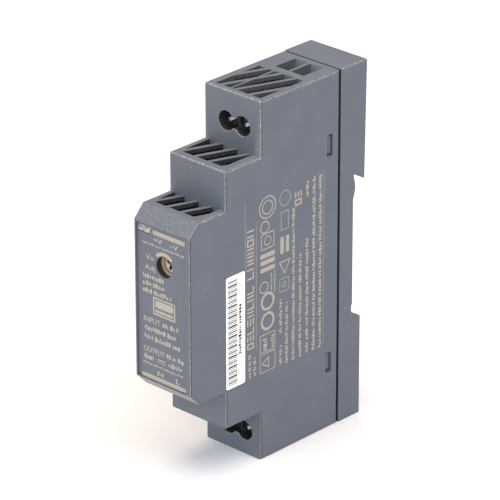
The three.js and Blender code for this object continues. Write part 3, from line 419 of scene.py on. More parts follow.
def moulding_compound(name, colour):
    finish = Finish(name, 0.55)
    grit = finish.noise(0.1 * MM, 3, 0.7)
    dark, full = shades(srgb(*colour), 0.7, 1)
    finish.colour(finish.ramp(grit, (0.3, dark), (0.7, full)))
    finish.rough(grit, 0.45, 0.68)
    finish.bump(grit, 0.006 * MM)
    return finish.material


FINISHES = {
    "housing_plastic": moulded("housing_plastic", (91, 98, 109), 0.012),
    "chamfer_plastic": sparked("chamfer_plastic", (92, 99, 109)),
    # painted highlights: rounded edges made pale, unevenly along their length, to stand for light caught
    # on them
    "painted_highlight_edge": mottled(
        "painted_highlight_edge", 0.5, ((0.34, (92, 96, 102)), (0.52, (112, 115, 119)), (0.66, (168, 170, 172))),
        0.03, 4, 0.75, spread=(0.3, 0.5), roughness=0.38, Specular_IOR_Level=0.5),
    # painted reflection: the matt, brownish dark line beside an upright edge, standing for a dark
    # reflection
    "painted_reflection_edge": mottled(
        "painted_reflection_edge", 0.6, ((0.3, (58, 54, 52)), (0.7, (82, 78, 76))), 0.01, 3, 0.7, roughness=0.7),
    # painted shade: matt walls of the louvres, holes, seam and slots, coloured dark to stand for the
    # shade in them, with a mottled grain
    "painted_shade_wall": mottled(
        "painted_shade_wall", 0.9, ((0.3, (38, 36, 35)), (0.7, (60, 59, 59))), 0.02, 4, 0.7,
        spread=(0.7, 0.9), roughness=0.8, Specular_IOR_Level=0.2),
    # painted shade: the walls of the terminal tier's openings, darker than the housing
    "shaded_wall": mottled(
        "shaded_wall", 0.7, ((0.3, (60, 61, 64)), (0.7, (80, 82, 86))), 0.02, 4, 0.7,
        spread=(0.65, 0.85), roughness=0.75, Specular_IOR_Level=0.25),
    # painted light: the smoother slope below the front face, coloured paler to stand for light bounced up
    # from the floor
    "painted_light_slope": moulded("painted_light_slope", (122, 123, 128), 0.006, 0.42),
    "latch_plastic": moulded("latch_plastic", (92, 97, 106), 0.008, 0.48),
    "terminal_plastic": moulded("terminal_plastic", (38, 40, 44), 0.008, 0.5, fleck=1.25, shade=0.8),
    "trimmer_plastic": moulded("trimmer_plastic", (190, 176, 150), 0.005, 0.5),
    "print_ink": mottled(
        "cream_print", 0.3, ((0.3, (143, 138, 126)), (0.65, (171, 166, 152))), 0.004, 2, 0.7,
        roughness=0.6),
    "label_paper": mottled(
        "label_film", 0.5, ((0.35, (240, 240, 239)), (0.65, (250, 250, 250))), 0.002,
        roughness=0.35, Coat_Weight=0.3),
    "label_ink": mottled("label_ink", 0.2, ((0.35, (32, 32, 40)), (0.65, (52, 52, 60))), 0.002, 2),
    "plated_steel": mottled(
        "plated_steel", 0.12, ((0.3, (176, 178, 180)), (0.7, (214, 214, 212))), 0.006, 4, 0.6,
        stretch=(1, 6, 1), spread=(0.22, 0.42), roughness=0.3, metallic=1.0),
    # painted shade: the dark face of a screw head deep in its hole
    "painted_shade_head": mottled(
        "painted_shade_head", 0.2, ((0.3, (22, 23, 25)), (0.7, (46, 47, 50))), 0.006, 3, 0.6,
        stretch=(4, 1, 1), spread=(0.38, 0.6), roughness=0.45, metallic=0.7),
    # painted glint: the walls and floor of a screw's slot, coloured bright to stand for light caught in
    # it
    "painted_glint_slot": mottled(
        "painted_glint_slot", 0.3, ((0.3, (214, 216, 220)), (0.65, (246, 247, 248))), 0.01, 3, 0.6,
        spread=(0.28, 0.45), roughness=0.35, metallic=0.2),
    "tinned_brass": tinned_brass(),
    "spring_steel": mottled(
        "spring_steel", 0.15, ((0.35, (150, 152, 156)), (0.7, (196, 198, 200))), 0.002,
        spread=(0.2, 0.38), roughness=0.28, metallic=1.0),
    # clear plastic over a dark inside, with pale flow lines
    "light_pipe_plastic": mottled(
        "light_pipe_plastic", 1.1,
        ((0.32, (84, 82, 78)), (0.46, (134, 132, 127)), (0.58, (178, 176, 170))), 0.05, 3, 0.6,
        stretch=(1, 1, 2.2), roughness=0.3, Specular_IOR_Level=0.4),
    "led_resin": mottled(
        "led_resin", 0.7, ((0.3, (70, 170, 84)), (0.7, (120, 214, 128))), 0.002, 2,
        roughness=0.15, Transmission_Weight=0.4, IOR=1.5),
    "rotor_plastic": mottled(
        "rotor_plastic", 0.5, ((0.35, (212, 198, 168)), (0.65, (238, 230, 208))), 0.01, 3, 0.6,
        roughness=0.45),
    "ferrite": mottled(
        "ferrite", 0.12, ((0.3, (36, 36, 40)), (0.7, (70, 70, 76))), 0.012, 4, 0.7,
        spread=(0.5, 0.75), roughness=0.6),
    "can_sleeve": mottled(
        "can_sleeve", 1.4, ((0.35, (22, 28, 44)), (0.65, (34, 42, 62))), 0.02, 2,
        roughness=0.3, Coat_Weight=0.3),
    "winding_tape": winding_tape(),
    "magnet_wire": magnet_wire(),
    "board_laminate": board_laminate(),
    "bobbin_plastic": moulding_compound("bobbin_plastic", (44, 45, 48)),
    "film_capacitor_plastic": moulding_compound("film_capacitor_plastic", (214, 172, 40)),
    "fuse_plastic": moulding_compound("fuse_plastic", (96, 52, 36)),
    "chip_plastic": moulding_compound("chip_plastic", (42, 43, 47)),
    "opto_plastic": moulding_compound("opto_plastic", (184, 188, 192)),
    "blue_coating": lacquer("blue_coating", (40, 100, 176)),
    "green_coating": lacquer("green_coating", (58, 118, 66)),
}


# ---------------------------------------------------------------------------
# Housing, base and latch
# ---------------------------------------------------------------------------

def faces_use(piece, finish, chosen):
    """Gives the finish to each face whose centre and normal are chosen."""
    index = piece.data.materials.find(FINISHES[finish].name)
    for face in piece.data.polygons:
        if chosen(face.center, face.normal):
            face.material_index = index


def on_nose_chamfer(centre, normal):
    """The slope between the front face and the nose's top, with the edge below it."""
    slopes = normal.y < -0.15 and normal.z > 0.15 and abs(normal.x) < 0.5
    inside = nose_flat_top_z - 0.3 * MM < centre.z < nose_top_z + 0.1 * MM
    return slopes and inside and centre.y < -51 * MM


def on_lower_chamfer(centre, normal):
    """The slope between the front face and the nose's underside."""
    slopes = normal.y < -0.15 and normal.z < -0.15 and abs(normal.x) < 0.5
    inside = nose_bottom_z - 0.1 * MM < centre.z < nose_flat_bottom_z + 0.1 * MM
    return slopes and inside and centre.y < -50 * MM


def at_ledge_edge(place, reach=0.1 * MM):
    """Near the front edge of one of the two upper ledges."""
    middle = abs(place.z - mid_top_z) < reach and abs(place.y - mid_face_y) < reach
    upper = abs(place.z - housing_high.z) < reach and abs(place.y - tier_face_y) < reach
    return middle or upper


def on_ledge_edge(centre, normal):
    return normal.y < -0.2 and normal.z > 0.2 and at_ledge_edge(centre, BROAD_EDGE)


def on_side_edge(centre):
    """On the rounding between the right side and the faces next to it."""
    return centre.x > side_x - 0.6 * MM


def on_side_top_edge(centre, normal):
    """The outer strip of the rounded edge between a top and the right side."""
    return on_side_edge(centre) and normal.x > 0.3 and normal.z > 0.3 and normal.x > normal.z


def on_front_line(centre, normal):
    """The narrow middle of an upright front edge."""
    even = abs(normal.x + normal.y) < 0.35
    return on_side_edge(centre) and normal.x > 0.3 and normal.y < -0.3 and even


def on_side_strip(centre, normal):
    """The strip of an upright front edge that faces sideways."""
    return on_side_edge(centre) and normal.x > 0.8 and normal.y < -0.25


def in_seam(centre, normal):
    """Facing the narrow gap between the front shell and the base."""
    gap = 0.5 * MM
    return abs(normal.y) > 0.5 and abs(centre.y - housing_high.y) < gap


def in_vent(centre, normal, vents=VENTS):
    """A wall of a louvred opening or of a slat in it."""
    for z, (x0, x1), (y0, y1) in vents:
        deep = 0.1 * MM < (z - centre.z) * math.copysign(1, z) < wall
        across = x0 - 0.1 < centre.x / MM < x1 + 0.1 and y0 - 0.1 < centre.y / MM < y1 + 0.1
        if deep and across and abs(normal.z) < 0.35 and abs(normal.y) < 0.9:
            return True
    return False


def in_tier_vent(centre, normal):
    return in_vent(centre, normal, TIER_VENTS)


def near_access_hole(centre):
    """Beside one of the two figure-eight holes in the terminal tier's front walls."""
    margin = 0.6 * MM
    for low, high in (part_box(name) for name in SCREWS):
        across = low.x - margin < centre.x < high.x + margin
        if across and low.z - margin < centre.z < high.z + margin:
            return True
    return False


def in_access_hole(centre, normal):
    deep = tier_face_y + HOLE_EDGE < centre.y < tier_face_y + wall
    return deep and abs(normal.y) < 0.3 and near_access_hole(centre)


def on_access_rim(centre, normal):
    front = centre.y < tier_face_y + HOLE_EDGE
    return front and -0.97 < normal.y < -0.1 and near_access_hole(centre)


def in_wire_window(centre, normal):
    """A sideways wall of a wire window, behind the louvres of the terminal tier."""
    window_front, window_back = -15 * MM, -6 * MM
    deep = 0.1 * MM < housing_high.z - abs(centre.z) < wall + 0.1 * MM
    inside = window_front < centre.y < window_back and centre.x < side_x - MM
    return deep and inside and abs(normal.x) > 0.8


def in_trimmer_hole(centre, normal):
    radius, depth = 2.6 * MM, 2.1 * MM
    reach = math.hypot(centre.x - trimmer_x, centre.z - trimmer_z)
    return reach < radius and centre.y < front_y + depth and abs(normal.y) < 0.5


def shell_edge(place):
    """The width of the rounding where the shell's edges differ from the rest."""
    if at_ledge_edge(place):
        return BROAD_EDGE
    if abs(place.y - tier_face_y) < 0.05 * MM and near_access_hole(place):
        return HOLE_EDGE
    return None


def front_shell():
    """The stepped housing: painted highlights and a painted dark reflection on its edges, a dusty
    chamfer, painted light on its lower slope, and painted shade in its louvres, holes and seam.
    """
    shell = round_edges(copy_of_node("front_housing", "front_shell"), EDGE, width_at=shell_edge)
    for vertex in shell.data.vertices:
        if vertex.co.x > side_x - SIDE_TUCK:
            vertex.co.x = side_x - SIDE_TUCK
    smooth(shell)
    # painted shade in the louvres, holes, wire windows and seam; painted highlights and a painted dark
    # reflection on the edges; painted light on the lower slope
    uses = (
        ("painted_shade_wall", in_vent),
        ("painted_shade_wall", in_access_hole),
        ("painted_shade_wall", in_trimmer_hole),
        ("shaded_wall", in_tier_vent),
        ("shaded_wall", in_wire_window),
        ("painted_shade_wall", in_seam),
        ("painted_reflection_edge", on_side_strip),
        ("painted_highlight_edge", on_side_top_edge),
        ("painted_highlight_edge", on_ledge_edge),
        ("painted_highlight_edge", on_front_line),
        ("painted_highlight_edge", on_access_rim),
        ("chamfer_plastic", on_nose_chamfer),
        ("painted_light_slope", on_lower_chamfer),
    )
    finishes = ["housing_plastic", *dict.fromkeys(finish for finish, chosen in uses)]
    stand_for(shell, "enclosure", "housing_plastic", finishes, "front_housing")
    for finish, chosen in uses:
        faces_use(shell, finish, chosen)
    return shell


def base_edge(place):
    """The edge between the base's top and its right side is rounded more broadly."""
    at_corner = abs(place.x - base_high.x) < 0.1 * MM and abs(place.z - base_high.z) < 0.1 * MM
    return BROAD_EDGE if at_corner else None


def on_base_edge(centre, normal):
    """The rounded edge between the base's top and its right side."""
    return normal.x > 0.2 and normal.z > 0.2 and centre.z > base_high.z - BROAD_EDGE


def rear_shell():
    """The base with its rail notch, with painted shade where it faces the front shell and a painted
    highlight on its top right edge.
    """
    shell = smooth(round_edges(copy_of_node("rear_base", "rear_shell"), EDGE, width_at=base_edge))
    finishes = ("housing_plastic", "painted_highlight_edge", "painted_shade_wall")
    stand_for(shell, "enclosure", "housing_plastic", finishes, "rear_base")
    # painted shade in the seam, and a painted highlight on the top right edge
    faces_use(shell, "painted_shade_wall", in_seam)
    faces_use(shell, "painted_highlight_edge", on_base_edge)
    return shell


def latch_slider():
    slider = smooth(round_edges(copy_of_node("rail_latch", "latch_slider"), EDGE))
    return stand_for(slider, "rail_latch", "latch_plastic", ["latch_plastic"], "rail_latch")


# ---------------------------------------------------------------------------
# Printed marks. Each is modelled flat in its own plane: u runs along the line of
# print, v up from it, and a Plane turns that onto a face of the housing.
# ---------------------------------------------------------------------------

class Plane:
    """Where a print lies: the point u = v = 0, and the ways that u and v run."""

    def __init__(self, origin, along, above):
        along, above = Vector(along), Vector(above)
        turn = Matrix((along, above, along.cross(above))).transposed().to_4x4()
        self.matrix = Matrix.Translation(Vector(origin)) @ turn

    def lay(self, piece):
        """Turns a piece from the flat drawing onto the face."""
        piece.matrix_world = self.matrix @ piece.matrix_world
        return settle(piece)


FRONT = Plane((0, panel_y, 0), (1, 0, 0), (0, 0, 1))
SIDE = Plane((side_x - SIDE_TUCK, 0, 0), (0, 0, 1), (0, -1, 0))
LABEL = Plane((label_high.x, 0, 0), (0, 0, 1), (0, -1, 0))


def raise_print():
    """Gives the selected flat faces the thickness of the print, and ends the editing."""
    bpy.ops.mesh.extrude_region_move(TRANSFORM_OT_translate={"value": (0, 0, INK)})
    bpy.ops.mesh.select_all(action="SELECT")
    bpy.ops.mesh.normals_make_consistent(inside=False)
    done_editing()


def tile_model():
    """A small printed block with slightly rounded corners, one millimetre square."""
    bpy.ops.mesh.primitive_plane_add(size=MM)
    model = added("tile_model")
    edit_all(model)
    bpy.ops.mesh.bevel(offset=0.12 * MM, segments=2, affect="VERTICES")
    raise_print()
    return model


def tile(model, u_range, v_range):
    """A copy of the model tile over that rectangle, in millimetres."""
    copy = model.copy()
    copy.data = model.data.copy()
    bpy.context.scene.collection.objects.link(copy)
    (u0, u1), (v0, v1) = u_range, v_range
    copy.location = ((u0 + u1) / 2 * MM, (v0 + v1) / 2 * MM, 0)
    copy.scale = (u1 - u0, v1 - v0, 1)
    return copy


def illegible_line(model, u_range, v, height, seed, word=(3, 9)):
    """A line of small print that can't be read: words made of blocks of uneven width."""
    chance = random.Random(seed)
    stroke, gap, space = height * 0.42, height * 0.2, height * 0.55
    u, end = u_range
    tiles, left = [], chance.randint(*word)
    while u < end - stroke:
        wide = min(stroke * chance.choice((0.6, 0.9, 1.2, 1.5)), end - u)
        low = v - height / 2 + height * chance.choice((0, 0, 0, 0.18))
        high = v + height / 2 - height * chance.choice((0, 0, 0.22, 0.3))
        tiles.append(tile(model, (u, u + wide), (low, high)))
        left -= 1
        u += wide + (gap if left else space)
        left = left or chance.randint(*word)
    return tiles


def flat_ring(centre, radius, width, sides=48, turn=0.0):
    """A flat ring, or a frame with few sides, with sizes in millimetres."""
    bpy.ops.mesh.primitive_circle_add(
        vertices=sides, radius=radius * MM, fill_type="NGON",
        location=(centre[0] * MM, centre[1] * MM, 0), rotation=(0, 0, turn))
    ring = added("ring")
    edit_all(ring)
    bpy.ops.mesh.inset(thickness=width * MM)
    bpy.ops.mesh.delete(type="FACE")
    bpy.ops.mesh.select_all(action="SELECT")
    raise_print()
    return ring


def frame_of_tiles(model, u_range, v_range, width):
    (u0, u1), (v0, v1) = u_range, v_range
    return [
        tile(model, (u0, u1), (v0, v0 + width)),
        tile(model, (u0, u1), (v1 - width, v1)),
        tile(model, (u0, u0 + width), (v0 + width, v1 - width)),
        tile(model, (u1 - width, u1), (v0 + width, v1 - width)),
    ]


def swept_band(centre, radii, angles, steps=16):
    """A part of a flat ring, between two radii in millimetres and two angles in degrees."""
    inner, outer = radii
    start, end = (math.radians(a) for a in angles)
    bpy.ops.mesh.primitive_plane_add(size=MM)
    band = added("band")
    edit_all(band)
    bpy.ops.mesh.delete(type="ONLY_FACE")
    done_editing()
    for vertex in band.data.vertices:
        reach = inner if vertex.co.x < 0 else outer
        vertex.co = (reach * MM * math.cos(start), reach * MM * math.sin(start), 0)
    edit_all(band)
    bpy.ops.mesh.remove_doubles(threshold=0.001 * MM)
    bpy.ops.mesh.select_all(action="SELECT")
    bpy.ops.mesh.spin(steps=steps, angle=start - end, center=(0, 0, 0), axis=(0, 0, 1))
    bpy.ops.mesh.select_all(action="SELECT")
    raise_print()
    band.location = (centre[0] * MM, centre[1] * MM, 0)
    return band


def letters(text, u_range, v, height):
    """Plain terminal lettering, fitted to that width, with v at its middle."""
    bpy.ops.object.text_add()
    piece = bpy.context.active_object
    piece.data.body = text
    piece.data.extrude = INK / 2
    piece.data.resolution_u = 3
    piece.data.offset = 0.012
    bpy.ops.object.convert(target="MESH")
    piece = added("letters")
    bpy.ops.object.origin_set(type="GEOMETRY_ORIGIN", center="BOUNDS")
    u0, u1 = u_range
    size = piece.dimensions
    piece.location = ((u0 + u1) / 2 * MM, v * MM, INK / 2)
    piece.scale = ((u1 - u0) * MM / size.x, height * MM / size.y, INK / size.z)
    return piece


def printed(name, plane, pieces, slot, finish):
    """Joins the pieces into one print and lays it onto its face."""
    settle(*pieces)
    marks = joined(name, pieces)
    plane.lay(marks)
    edit_all(marks)
    bpy.ops.mesh.normals_make_consistent(inside=False)
    done_editing()
    return stand_for(marks, "enclosure", slot, [finish])


# The prints, in millimetres: u range, v range; and for lines of small print u range, v of the middle,
# height, seed of the blocks, and how many blocks a word has when it isn't the usual number.

FRONT_BLOCKS = (
    ((-3.1, 7.0), (16.4, 17.5)),
    ((-7.05, 7.05), (-20.05, -19.0)),
    ((-2.6, 3.0), (-1.5, 0.3)),
    ((-2.6, 3.0), (-2.7, -2.0)),
    ((-2.1, 0.4), (-14.6, -14.3)),
    ((-2.1, -1.5), (-15.2, -14.95)),
    ((-1.15, -0.55), (-15.2, -14.95)),
    ((-0.2, 0.4), (-15.2, -14.95)),
)
FRONT_LETTERS = (
    ("+V", (-3.0, -0.15), 15.2, 1.25),
    ("-V", (2.3, 4.85), 15.2, 1.25),
    ("Vo", (-5.5, -3.0), 10.4, 1.3),
    ("Adj", (-5.75, -2.6), 7.7, 1.6),
    ("INPUT", (-6.3, -1.0), -5.2, 1.3),
    ("OUTPUT", (-6.4, 0.2), -12.7, 1.3),
    ("N", (-2.1, -0.3), -18.0, 1.25),
    ("L", (3.75, 5.0), -18.0, 1.25),
)
FRONT_LINES = (
    ((-6.4, 6.8), 13.75, 0.55, 1),
    ((-6.4, 0.3), 5.6, 1.15, 2),
    ((-6.5, 0.9), 3.8, 1.15, 3),
    ((-6.5, 3.0), 2.0, 1.15, 4),
    ((-0.4, 4.6), -5.2, 1.2, 5, (2, 3)),
    ((-6.1, 4.0), -7.4, 1.2, 6),
    ((-6.1, 5.7), -9.6, 1.2, 7),
    ((0.8, 6.8), -12.7, 1.2, 8, (2, 3)),
    ((-6.2, -3.0), -14.7, 1.2, 9),
    ((1.3, 6.2), -14.7, 1.2, 10),
    ((-6.7, 6.3), -16.3, 0.5, 11),
)
# the side: rules, blocks, frames with their widths, rings, lines and large words
SIDE_BLOCKS = (
    ((5.0, 22.0), (36.33, 36.43)),
    ((-16.0, 16.0), (32.75, 32.85)),
    ((-22.5, 21.6), (10.05, 10.15)),
    ((2.7, 3.8), (26.6, 31.4)),
    ((4.5, 5.6), (26.6, 31.4)),
    ((6.2, 7.3), (26.6, 31.4)),
    ((5.4, 9.6), (23.6, 24.8)),
    ((5.4, 9.6), (21.9, 22.9)),
)
SIDE_FRAMES = (
    ((-22.7, -17.9), (26.4, 31.6), 0.22),
    ((-17.6, -13.0), (26.4, 31.6), 0.22),
    ((8.3, 12.3), (26.8, 31.2), 0.25),
    ((-4.2, -0.9), (21.8, 25.0), 0.16),
    ((-3.2, -1.9), (22.8, 24.0), 0.16),
    ((11.2, 15.8), (22.0, 24.6), 0.16),
)
SIDE_RINGS = (
    ((-9.9, 29.0), 2.3, 0.65),
    ((-4.9, 29.0), 2.3, 0.65),
    ((-1.1, 30.2), 1.5, 0.28),
    ((10.3, 29.0), 1.2, 0.25),
    ((13.9, 29.95), 1.55, 0.28),
    ((18.6, 29.05), 2.8, 0.3),
    ((18.6, 29.05), 1.8, 0.3),
    ((19.0, 23.2), 1.9, 0.16),
)
SIDE_LINES = (
    ((-22.5, -16.6), 35.0, 0.9, 21, (2, 3)),
    ((-22.4, -17.4), 33.4, 0.9, 22, (2, 2)),
    ((-17.1, -13.5), 30.0, 1.5, 25),
    ((-17.1, -13.5), 27.4, 1.1, 26),
    ((-2.6, 1.9), 27.8, 0.55, 27),
    ((-3.2, 2.1), 26.7, 0.55, 28),
    ((-22.5, -17.5), 24.7, 0.95, 31),
    ((-14.5, -5.5), 24.7, 0.95, 32),
    ((-22.9, -7.0), 22.65, 0.95, 33),
    ((-22.8, 15.5), 20.4, 0.95, 34),
    ((-22.9, 4.0), 18.1, 0.95, 35),
    ((-22.7, 7.0), 15.8, 1.0, 36),
    ((17.0, 21.2), 15.8, 1.0, 37),
    ((-22.8, 21.4), 13.5, 1.0, 38),
    ((-22.9, 21.3), 11.3, 1.0, 39),
)
SIDE_WORDS = (
    ((-15.2, 0.6), 34.7, 2.3, 23),
    ((2.4, 15.2), 34.7, 2.3, 24),
    ((15.8, 20.2), 18.8, 2.3, 40),
)


def front_marks(model):
    arc_radii, arc_angles = (2.75, 3.6), (138, 44)
    pieces = [tile(model, *sizes) for sizes in FRONT_BLOCKS]
    pieces += [letters(*sizes) for sizes in FRONT_LETTERS]
    pieces.append(swept_band((trimmer_x / MM, trimmer_z / MM), arc_radii, arc_angles))
    pieces += frame_of_tiles(model, (-3.3, 3.7), (-3.4, 1.0), 0.42)
    for sizes in FRONT_LINES:
        pieces += illegible_line(model, *sizes)
    return printed("front_marks", FRONT, pieces, "housing_plastic", "print_ink")


def side_marks(model):
    """The rating print: plain shapes where the device has its data and its marks."""
    pieces = [tile(model, *sizes) for sizes in SIDE_BLOCKS]
    for sizes in SIDE_LINES:
        pieces += illegible_line(model, *sizes)
    for sizes in SIDE_WORDS:
        pieces += large_word(model, *sizes)
    for sizes in SIDE_FRAMES:
        pieces += frame_of_tiles(model, *sizes)
    pieces += [flat_ring(*sizes) for sizes in SIDE_RINGS]
    pieces.append(flat_ring((-20.4, 29.4), 1.7, 0.3, sides=3))
    pieces.append(flat_ring((2.3, 23.3), 2.3, 0.28, sides=3, turn=math.pi / 2))
    return printed("side_marks", SIDE, pieces, "housing_plastic", "print_ink")


def large_word(model, u_range, v, height, seed):
    """Large print as uneven frames and bars, which spell nothing."""
    chance = random.Random(seed)
    stroke, gap, narrowest = 0.42, 0.45, 1.0
    widths = (1.4, 1.6, 1.8)
    u, end = u_range
    pieces = []
    while u < end - narrowest:
        wide = min(chance.choice(widths), end - u)
        v_range = (v - height / 2, v + height / 2)
        kind = chance.randrange(4)
        if kind == 0:
            pieces += frame_of_tiles(model, (u, u + wide), v_range, stroke)
        elif kind == 1:
            pieces.append(tile(model, (u, u + stroke), v_range))
            pieces.append(tile(model, (u + wide - stroke, u + wide), v_range))
        elif kind == 2:
            pieces += [tile(model, (u, u + wide), (w, w + stroke)) for w in
                       (v_range[0], v - stroke / 2, v_range[1] - stroke)]
        else:
            pieces.append(tile(model, (u, u + stroke), v_range))
            pieces.append(tile(model, (u + stroke, u + wide), (v_range[0], v_range[0] + stroke)))
        u += wide + gap
    return pieces


# ---------------------------------------------------------------------------
# Label
# ---------------------------------------------------------------------------

def label_film_piece():
    """The film, with rounded corners, in its shallow pocket."""
    film = block("label_film", label_low, label_high)
    edit_all(film)
    bpy.ops.mesh.select_all(action="DESELECT")
    bpy.ops.mesh.select_mode(type="EDGE")
    done_editing()
    for edge in film.data.edges:
        one, other = (film.data.vertices[i].co for i in edge.vertices)
        edge.select = abs(one.x - other.x) > (label_high.x - label_low.x) / 2
    select_only(film)
    bpy.ops.object.mode_set(mode="EDIT")
    bpy.ops.mesh.bevel(offset=0.55 * MM, segments=5, affect="EDGES")
    done_editing()
    smooth(film)
    return stand_for(film, "enclosure", "label_paper", ["label_paper"], "side_label")


def label_marks(model):
    """A regular ladder of stripes, with a row of plain blocks beside it."""
    margin, stripe, inset = 0.9, 3.0, 0.6
    bottom, top = label_low.z / MM + margin, label_high.z / MM - margin
    across = (-label_low.y / MM - inset - stripe, -label_low.y / MM - inset)
    widths = (0.16, 0.3, 0.16, 0.16, 0.46)
    gaps = (0.26, 0.2, 0.34, 0.2, 0.3)
    pieces, u, turn = [], bottom, 0
    while u + widths[turn % len(widths)] < top:
        wide = widths[turn % len(widths)]
        pieces.append(tile(model, (u, u + wide), across))
        u += wide + gaps[turn % len(gaps)]
        turn += 1
    beside = -label_high.y / MM + 1.7
    pieces += illegible_line(model, (bottom + 7.0, top - 6.5), beside, 1.0, 51, (12, 12))
    return printed("label_marks", LABEL, pieces, "label_paper", "label_ink")


# ---------------------------------------------------------------------------
# Screws, trimmer, spring and indicator
# ---------------------------------------------------------------------------

SLOT_ANGLE = math.radians(-33)


def spin_about_y(piece, centre, angle):
    """Turns a settled piece about a line along Y."""
    place = Matrix.Translation(Vector(centre))
    piece.data.transform(place @ Matrix.Rotation(angle, 4, "Y") @ place.inverted())
    return piece


def cutter_block(centre, half_x, half_z, depth):
    """A block that cuts to this depth into a face, with its middle at the centre of the face."""
    x, y, z = centre
    return block("cutter", (x - half_x, y - MM, z - half_z), (x + half_x, y + depth, z + half_z))


def screw_head(node, centre, radius, height):
    """A cheese head with a slot across it."""
    x, y, z = centre
    slot_half_width, slot_depth = 0.4 * MM, 0.6 * MM
    head = rod(node + "_piece", (x, y + height / 2, z), radius, height)
    apply_modifier(head, "BEVEL", width=0.25 * MM, segments=3, limit_method="ANGLE")
    slot = cutter_block(centre, radius * 1.2, slot_half_width, slot_depth)
    return cut_away(head, spin_about_y(slot, centre, SLOT_ANGLE))


def threaded_shank(centre, radius, length, pitch=0.5 * MM, root=0.84):
    """A shank with a ring of thread for each turn."""
    x, y, z = centre
    shank = rod("shank", (x, y + length / 2, z), radius, length, sides=40)
    edit_all(shank)
    for half_turn in range(1, int(length / pitch) * 2):
        bpy.ops.mesh.select_all(action="SELECT")
        bpy.ops.mesh.bisect(plane_co=(x, y + half_turn * pitch / 2, z), plane_no=(0, 1, 0))
    done_editing()
    for vertex in shank.data.vertices:
        along = vertex.co.y - y
        in_root = round(along / (pitch / 2)) % 2 and pitch / 4 < along < length - pitch / 4
        if in_root:
            vertex.co.x = x + (vertex.co.x - x) * root
            vertex.co.z = z + (vertex.co.z - z) * root
    return shank


def clamp_screw(node):
    low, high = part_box(node)
    centre = ((low.x + high.x) / 2, low.y, (low.z + high.z) / 2)
    radius = (high.x - low.x) / 2
    head_height, shank_radius = 2.2 * MM, 1.45 * MM
    head = screw_head(node, centre, radius, head_height)
    start = (centre[0], low.y + head_height, centre[2])
    shank = threaded_shank(start, shank_radius, high.y - start[1])
    screw = smooth(joined(node + "_piece", [head, shank]), 35)
    finishes = ("plated_steel", "painted_shade_head", "painted_glint_slot")
    stand_for(screw, node, "plated_steel", finishes, node)

    def on_front(place, normal):
        return normal.y < -0.6 and place.y < low.y + 0.5 * MM

    def in_slot(place, normal):
        reach = math.hypot(place.x - centre[0], place.z - centre[2])
        return low.y + 0.25 * MM < place.y < low.y + 0.7 * MM and reach < radius - 0.3 * MM

    # painted shade on the head's front face
    faces_use(screw, "painted_shade_head", on_front)
    # a painted glint in the slot
    faces_use(screw, "painted_glint_slot", in_slot)
    return screw


def trimmer_knob():
    """The rotor: a round face with a cross of two slots and a pointer notch, on its stem."""
    front, back = rotor_low.y, rotor_high.y
    x, z, radius = trimmer_x, trimmer_z, (rotor_high.x - rotor_low.x) / 2
    thick, stem_radius, overlap = 1.5 * MM, 1.0 * MM, 0.2 * MM
    arm, half_width, depth = 1.55 * MM, 0.36 * MM, 0.9 * MM
    cross_angle = math.radians(20)
    knob = rod("trimmer_knob", (x, front + thick / 2, z), radius, thick)
    apply_modifier(knob, "BEVEL", width=0.2 * MM, segments=3, limit_method="ANGLE")
    middle = (x, (front + thick + back) / 2, z)
    stem = rod("stem", middle, stem_radius, back - front - thick + overlap, sides=32)
    slots = [
        cutter_block((x, front, z), arm, half_width, depth),
        cutter_block((x, front, z), half_width, arm, depth),
        cutter_block((x, front, z + 2 * MM), 0.2 * MM, 0.5 * MM, 0.4 * MM),
    ]
    for cutter in slots:
        spin_about_y(cutter, (x, front, z), cross_angle)
    cut_away(knob, *slots)
    knob = smooth(joined("trimmer_knob", [knob, stem]), 35)
    stand_for(knob, "trimmer_rotor", "rotor_plastic", ("rotor_plastic", "painted_shade_wall"), "trimmer_rotor")

    def in_slot(place, normal):
        reach = math.hypot(place.x - x, place.z - z)
        return front + 0.15 * MM < place.y < front + MM and reach < radius - 0.2 * MM

    # painted shade in the rotor's slots
    faces_use(knob, "painted_shade_wall", in_slot)
    return knob


def latch_coil():
    """The spring as a round wire wound by a loop, with closed ends."""
    wire = 0.22 * MM
    radius = (spring_high.x - spring_low.x) / 2 - wire
    centre = ((spring_low.x + spring_high.x) / 2, (spring_low.y + spring_high.y) / 2)
    turns, per_turn, closed_share = 6, 24, 0.08
    low, high = spring_low.z + wire, spring_high.z - wire
    line = bpy.data.curves.new("latch_coil", "CURVE")
    line.dimensions = "3D"
    line.bevel_depth = wire
    line.bevel_resolution = 3
    line.use_fill_caps = True
    spline = line.splines.new("POLY")
    count = turns * per_turn + 1
    spline.points.add(count - 1)
    for step, point in enumerate(spline.points):
        angle = math.tau * step / per_turn
        rise = min(max(step / (count - 1) * (1 + 2 * closed_share) - closed_share, 0), 1)
        point.co = (centre[0] + radius * math.cos(angle), centre[1] + radius * math.sin(angle),
                    low + (high - low) * rise, 1)
    coil = bpy.data.objects.new("latch_coil", line)
    bpy.context.scene.collection.objects.link(coil)
    select_only(coil)
    bpy.ops.object.convert(target="MESH")
    coil = added("latch_coil")
    smooth(coil, 60)
    stand_for(coil, "enclosure", "spring_steel", ["spring_steel"], "latch_spring")
    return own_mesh(coil)


def softened(node, slot):
    """A carried-over shape with its moulded or stamped edges rounded."""
    bodies = frame["record"]["behaviour"]["bodies"]
    body = next(name for name, members in bodies.items() if node in members)
    piece = smooth(round_edges(copy_of_node(node, node + "_piece"), FINE_EDGE), 45)
    return stand_for(piece, body, slot, [slot], node)


# ---------------------------------------------------------------------------
# Camera, floor and light
# ---------------------------------------------------------------------------

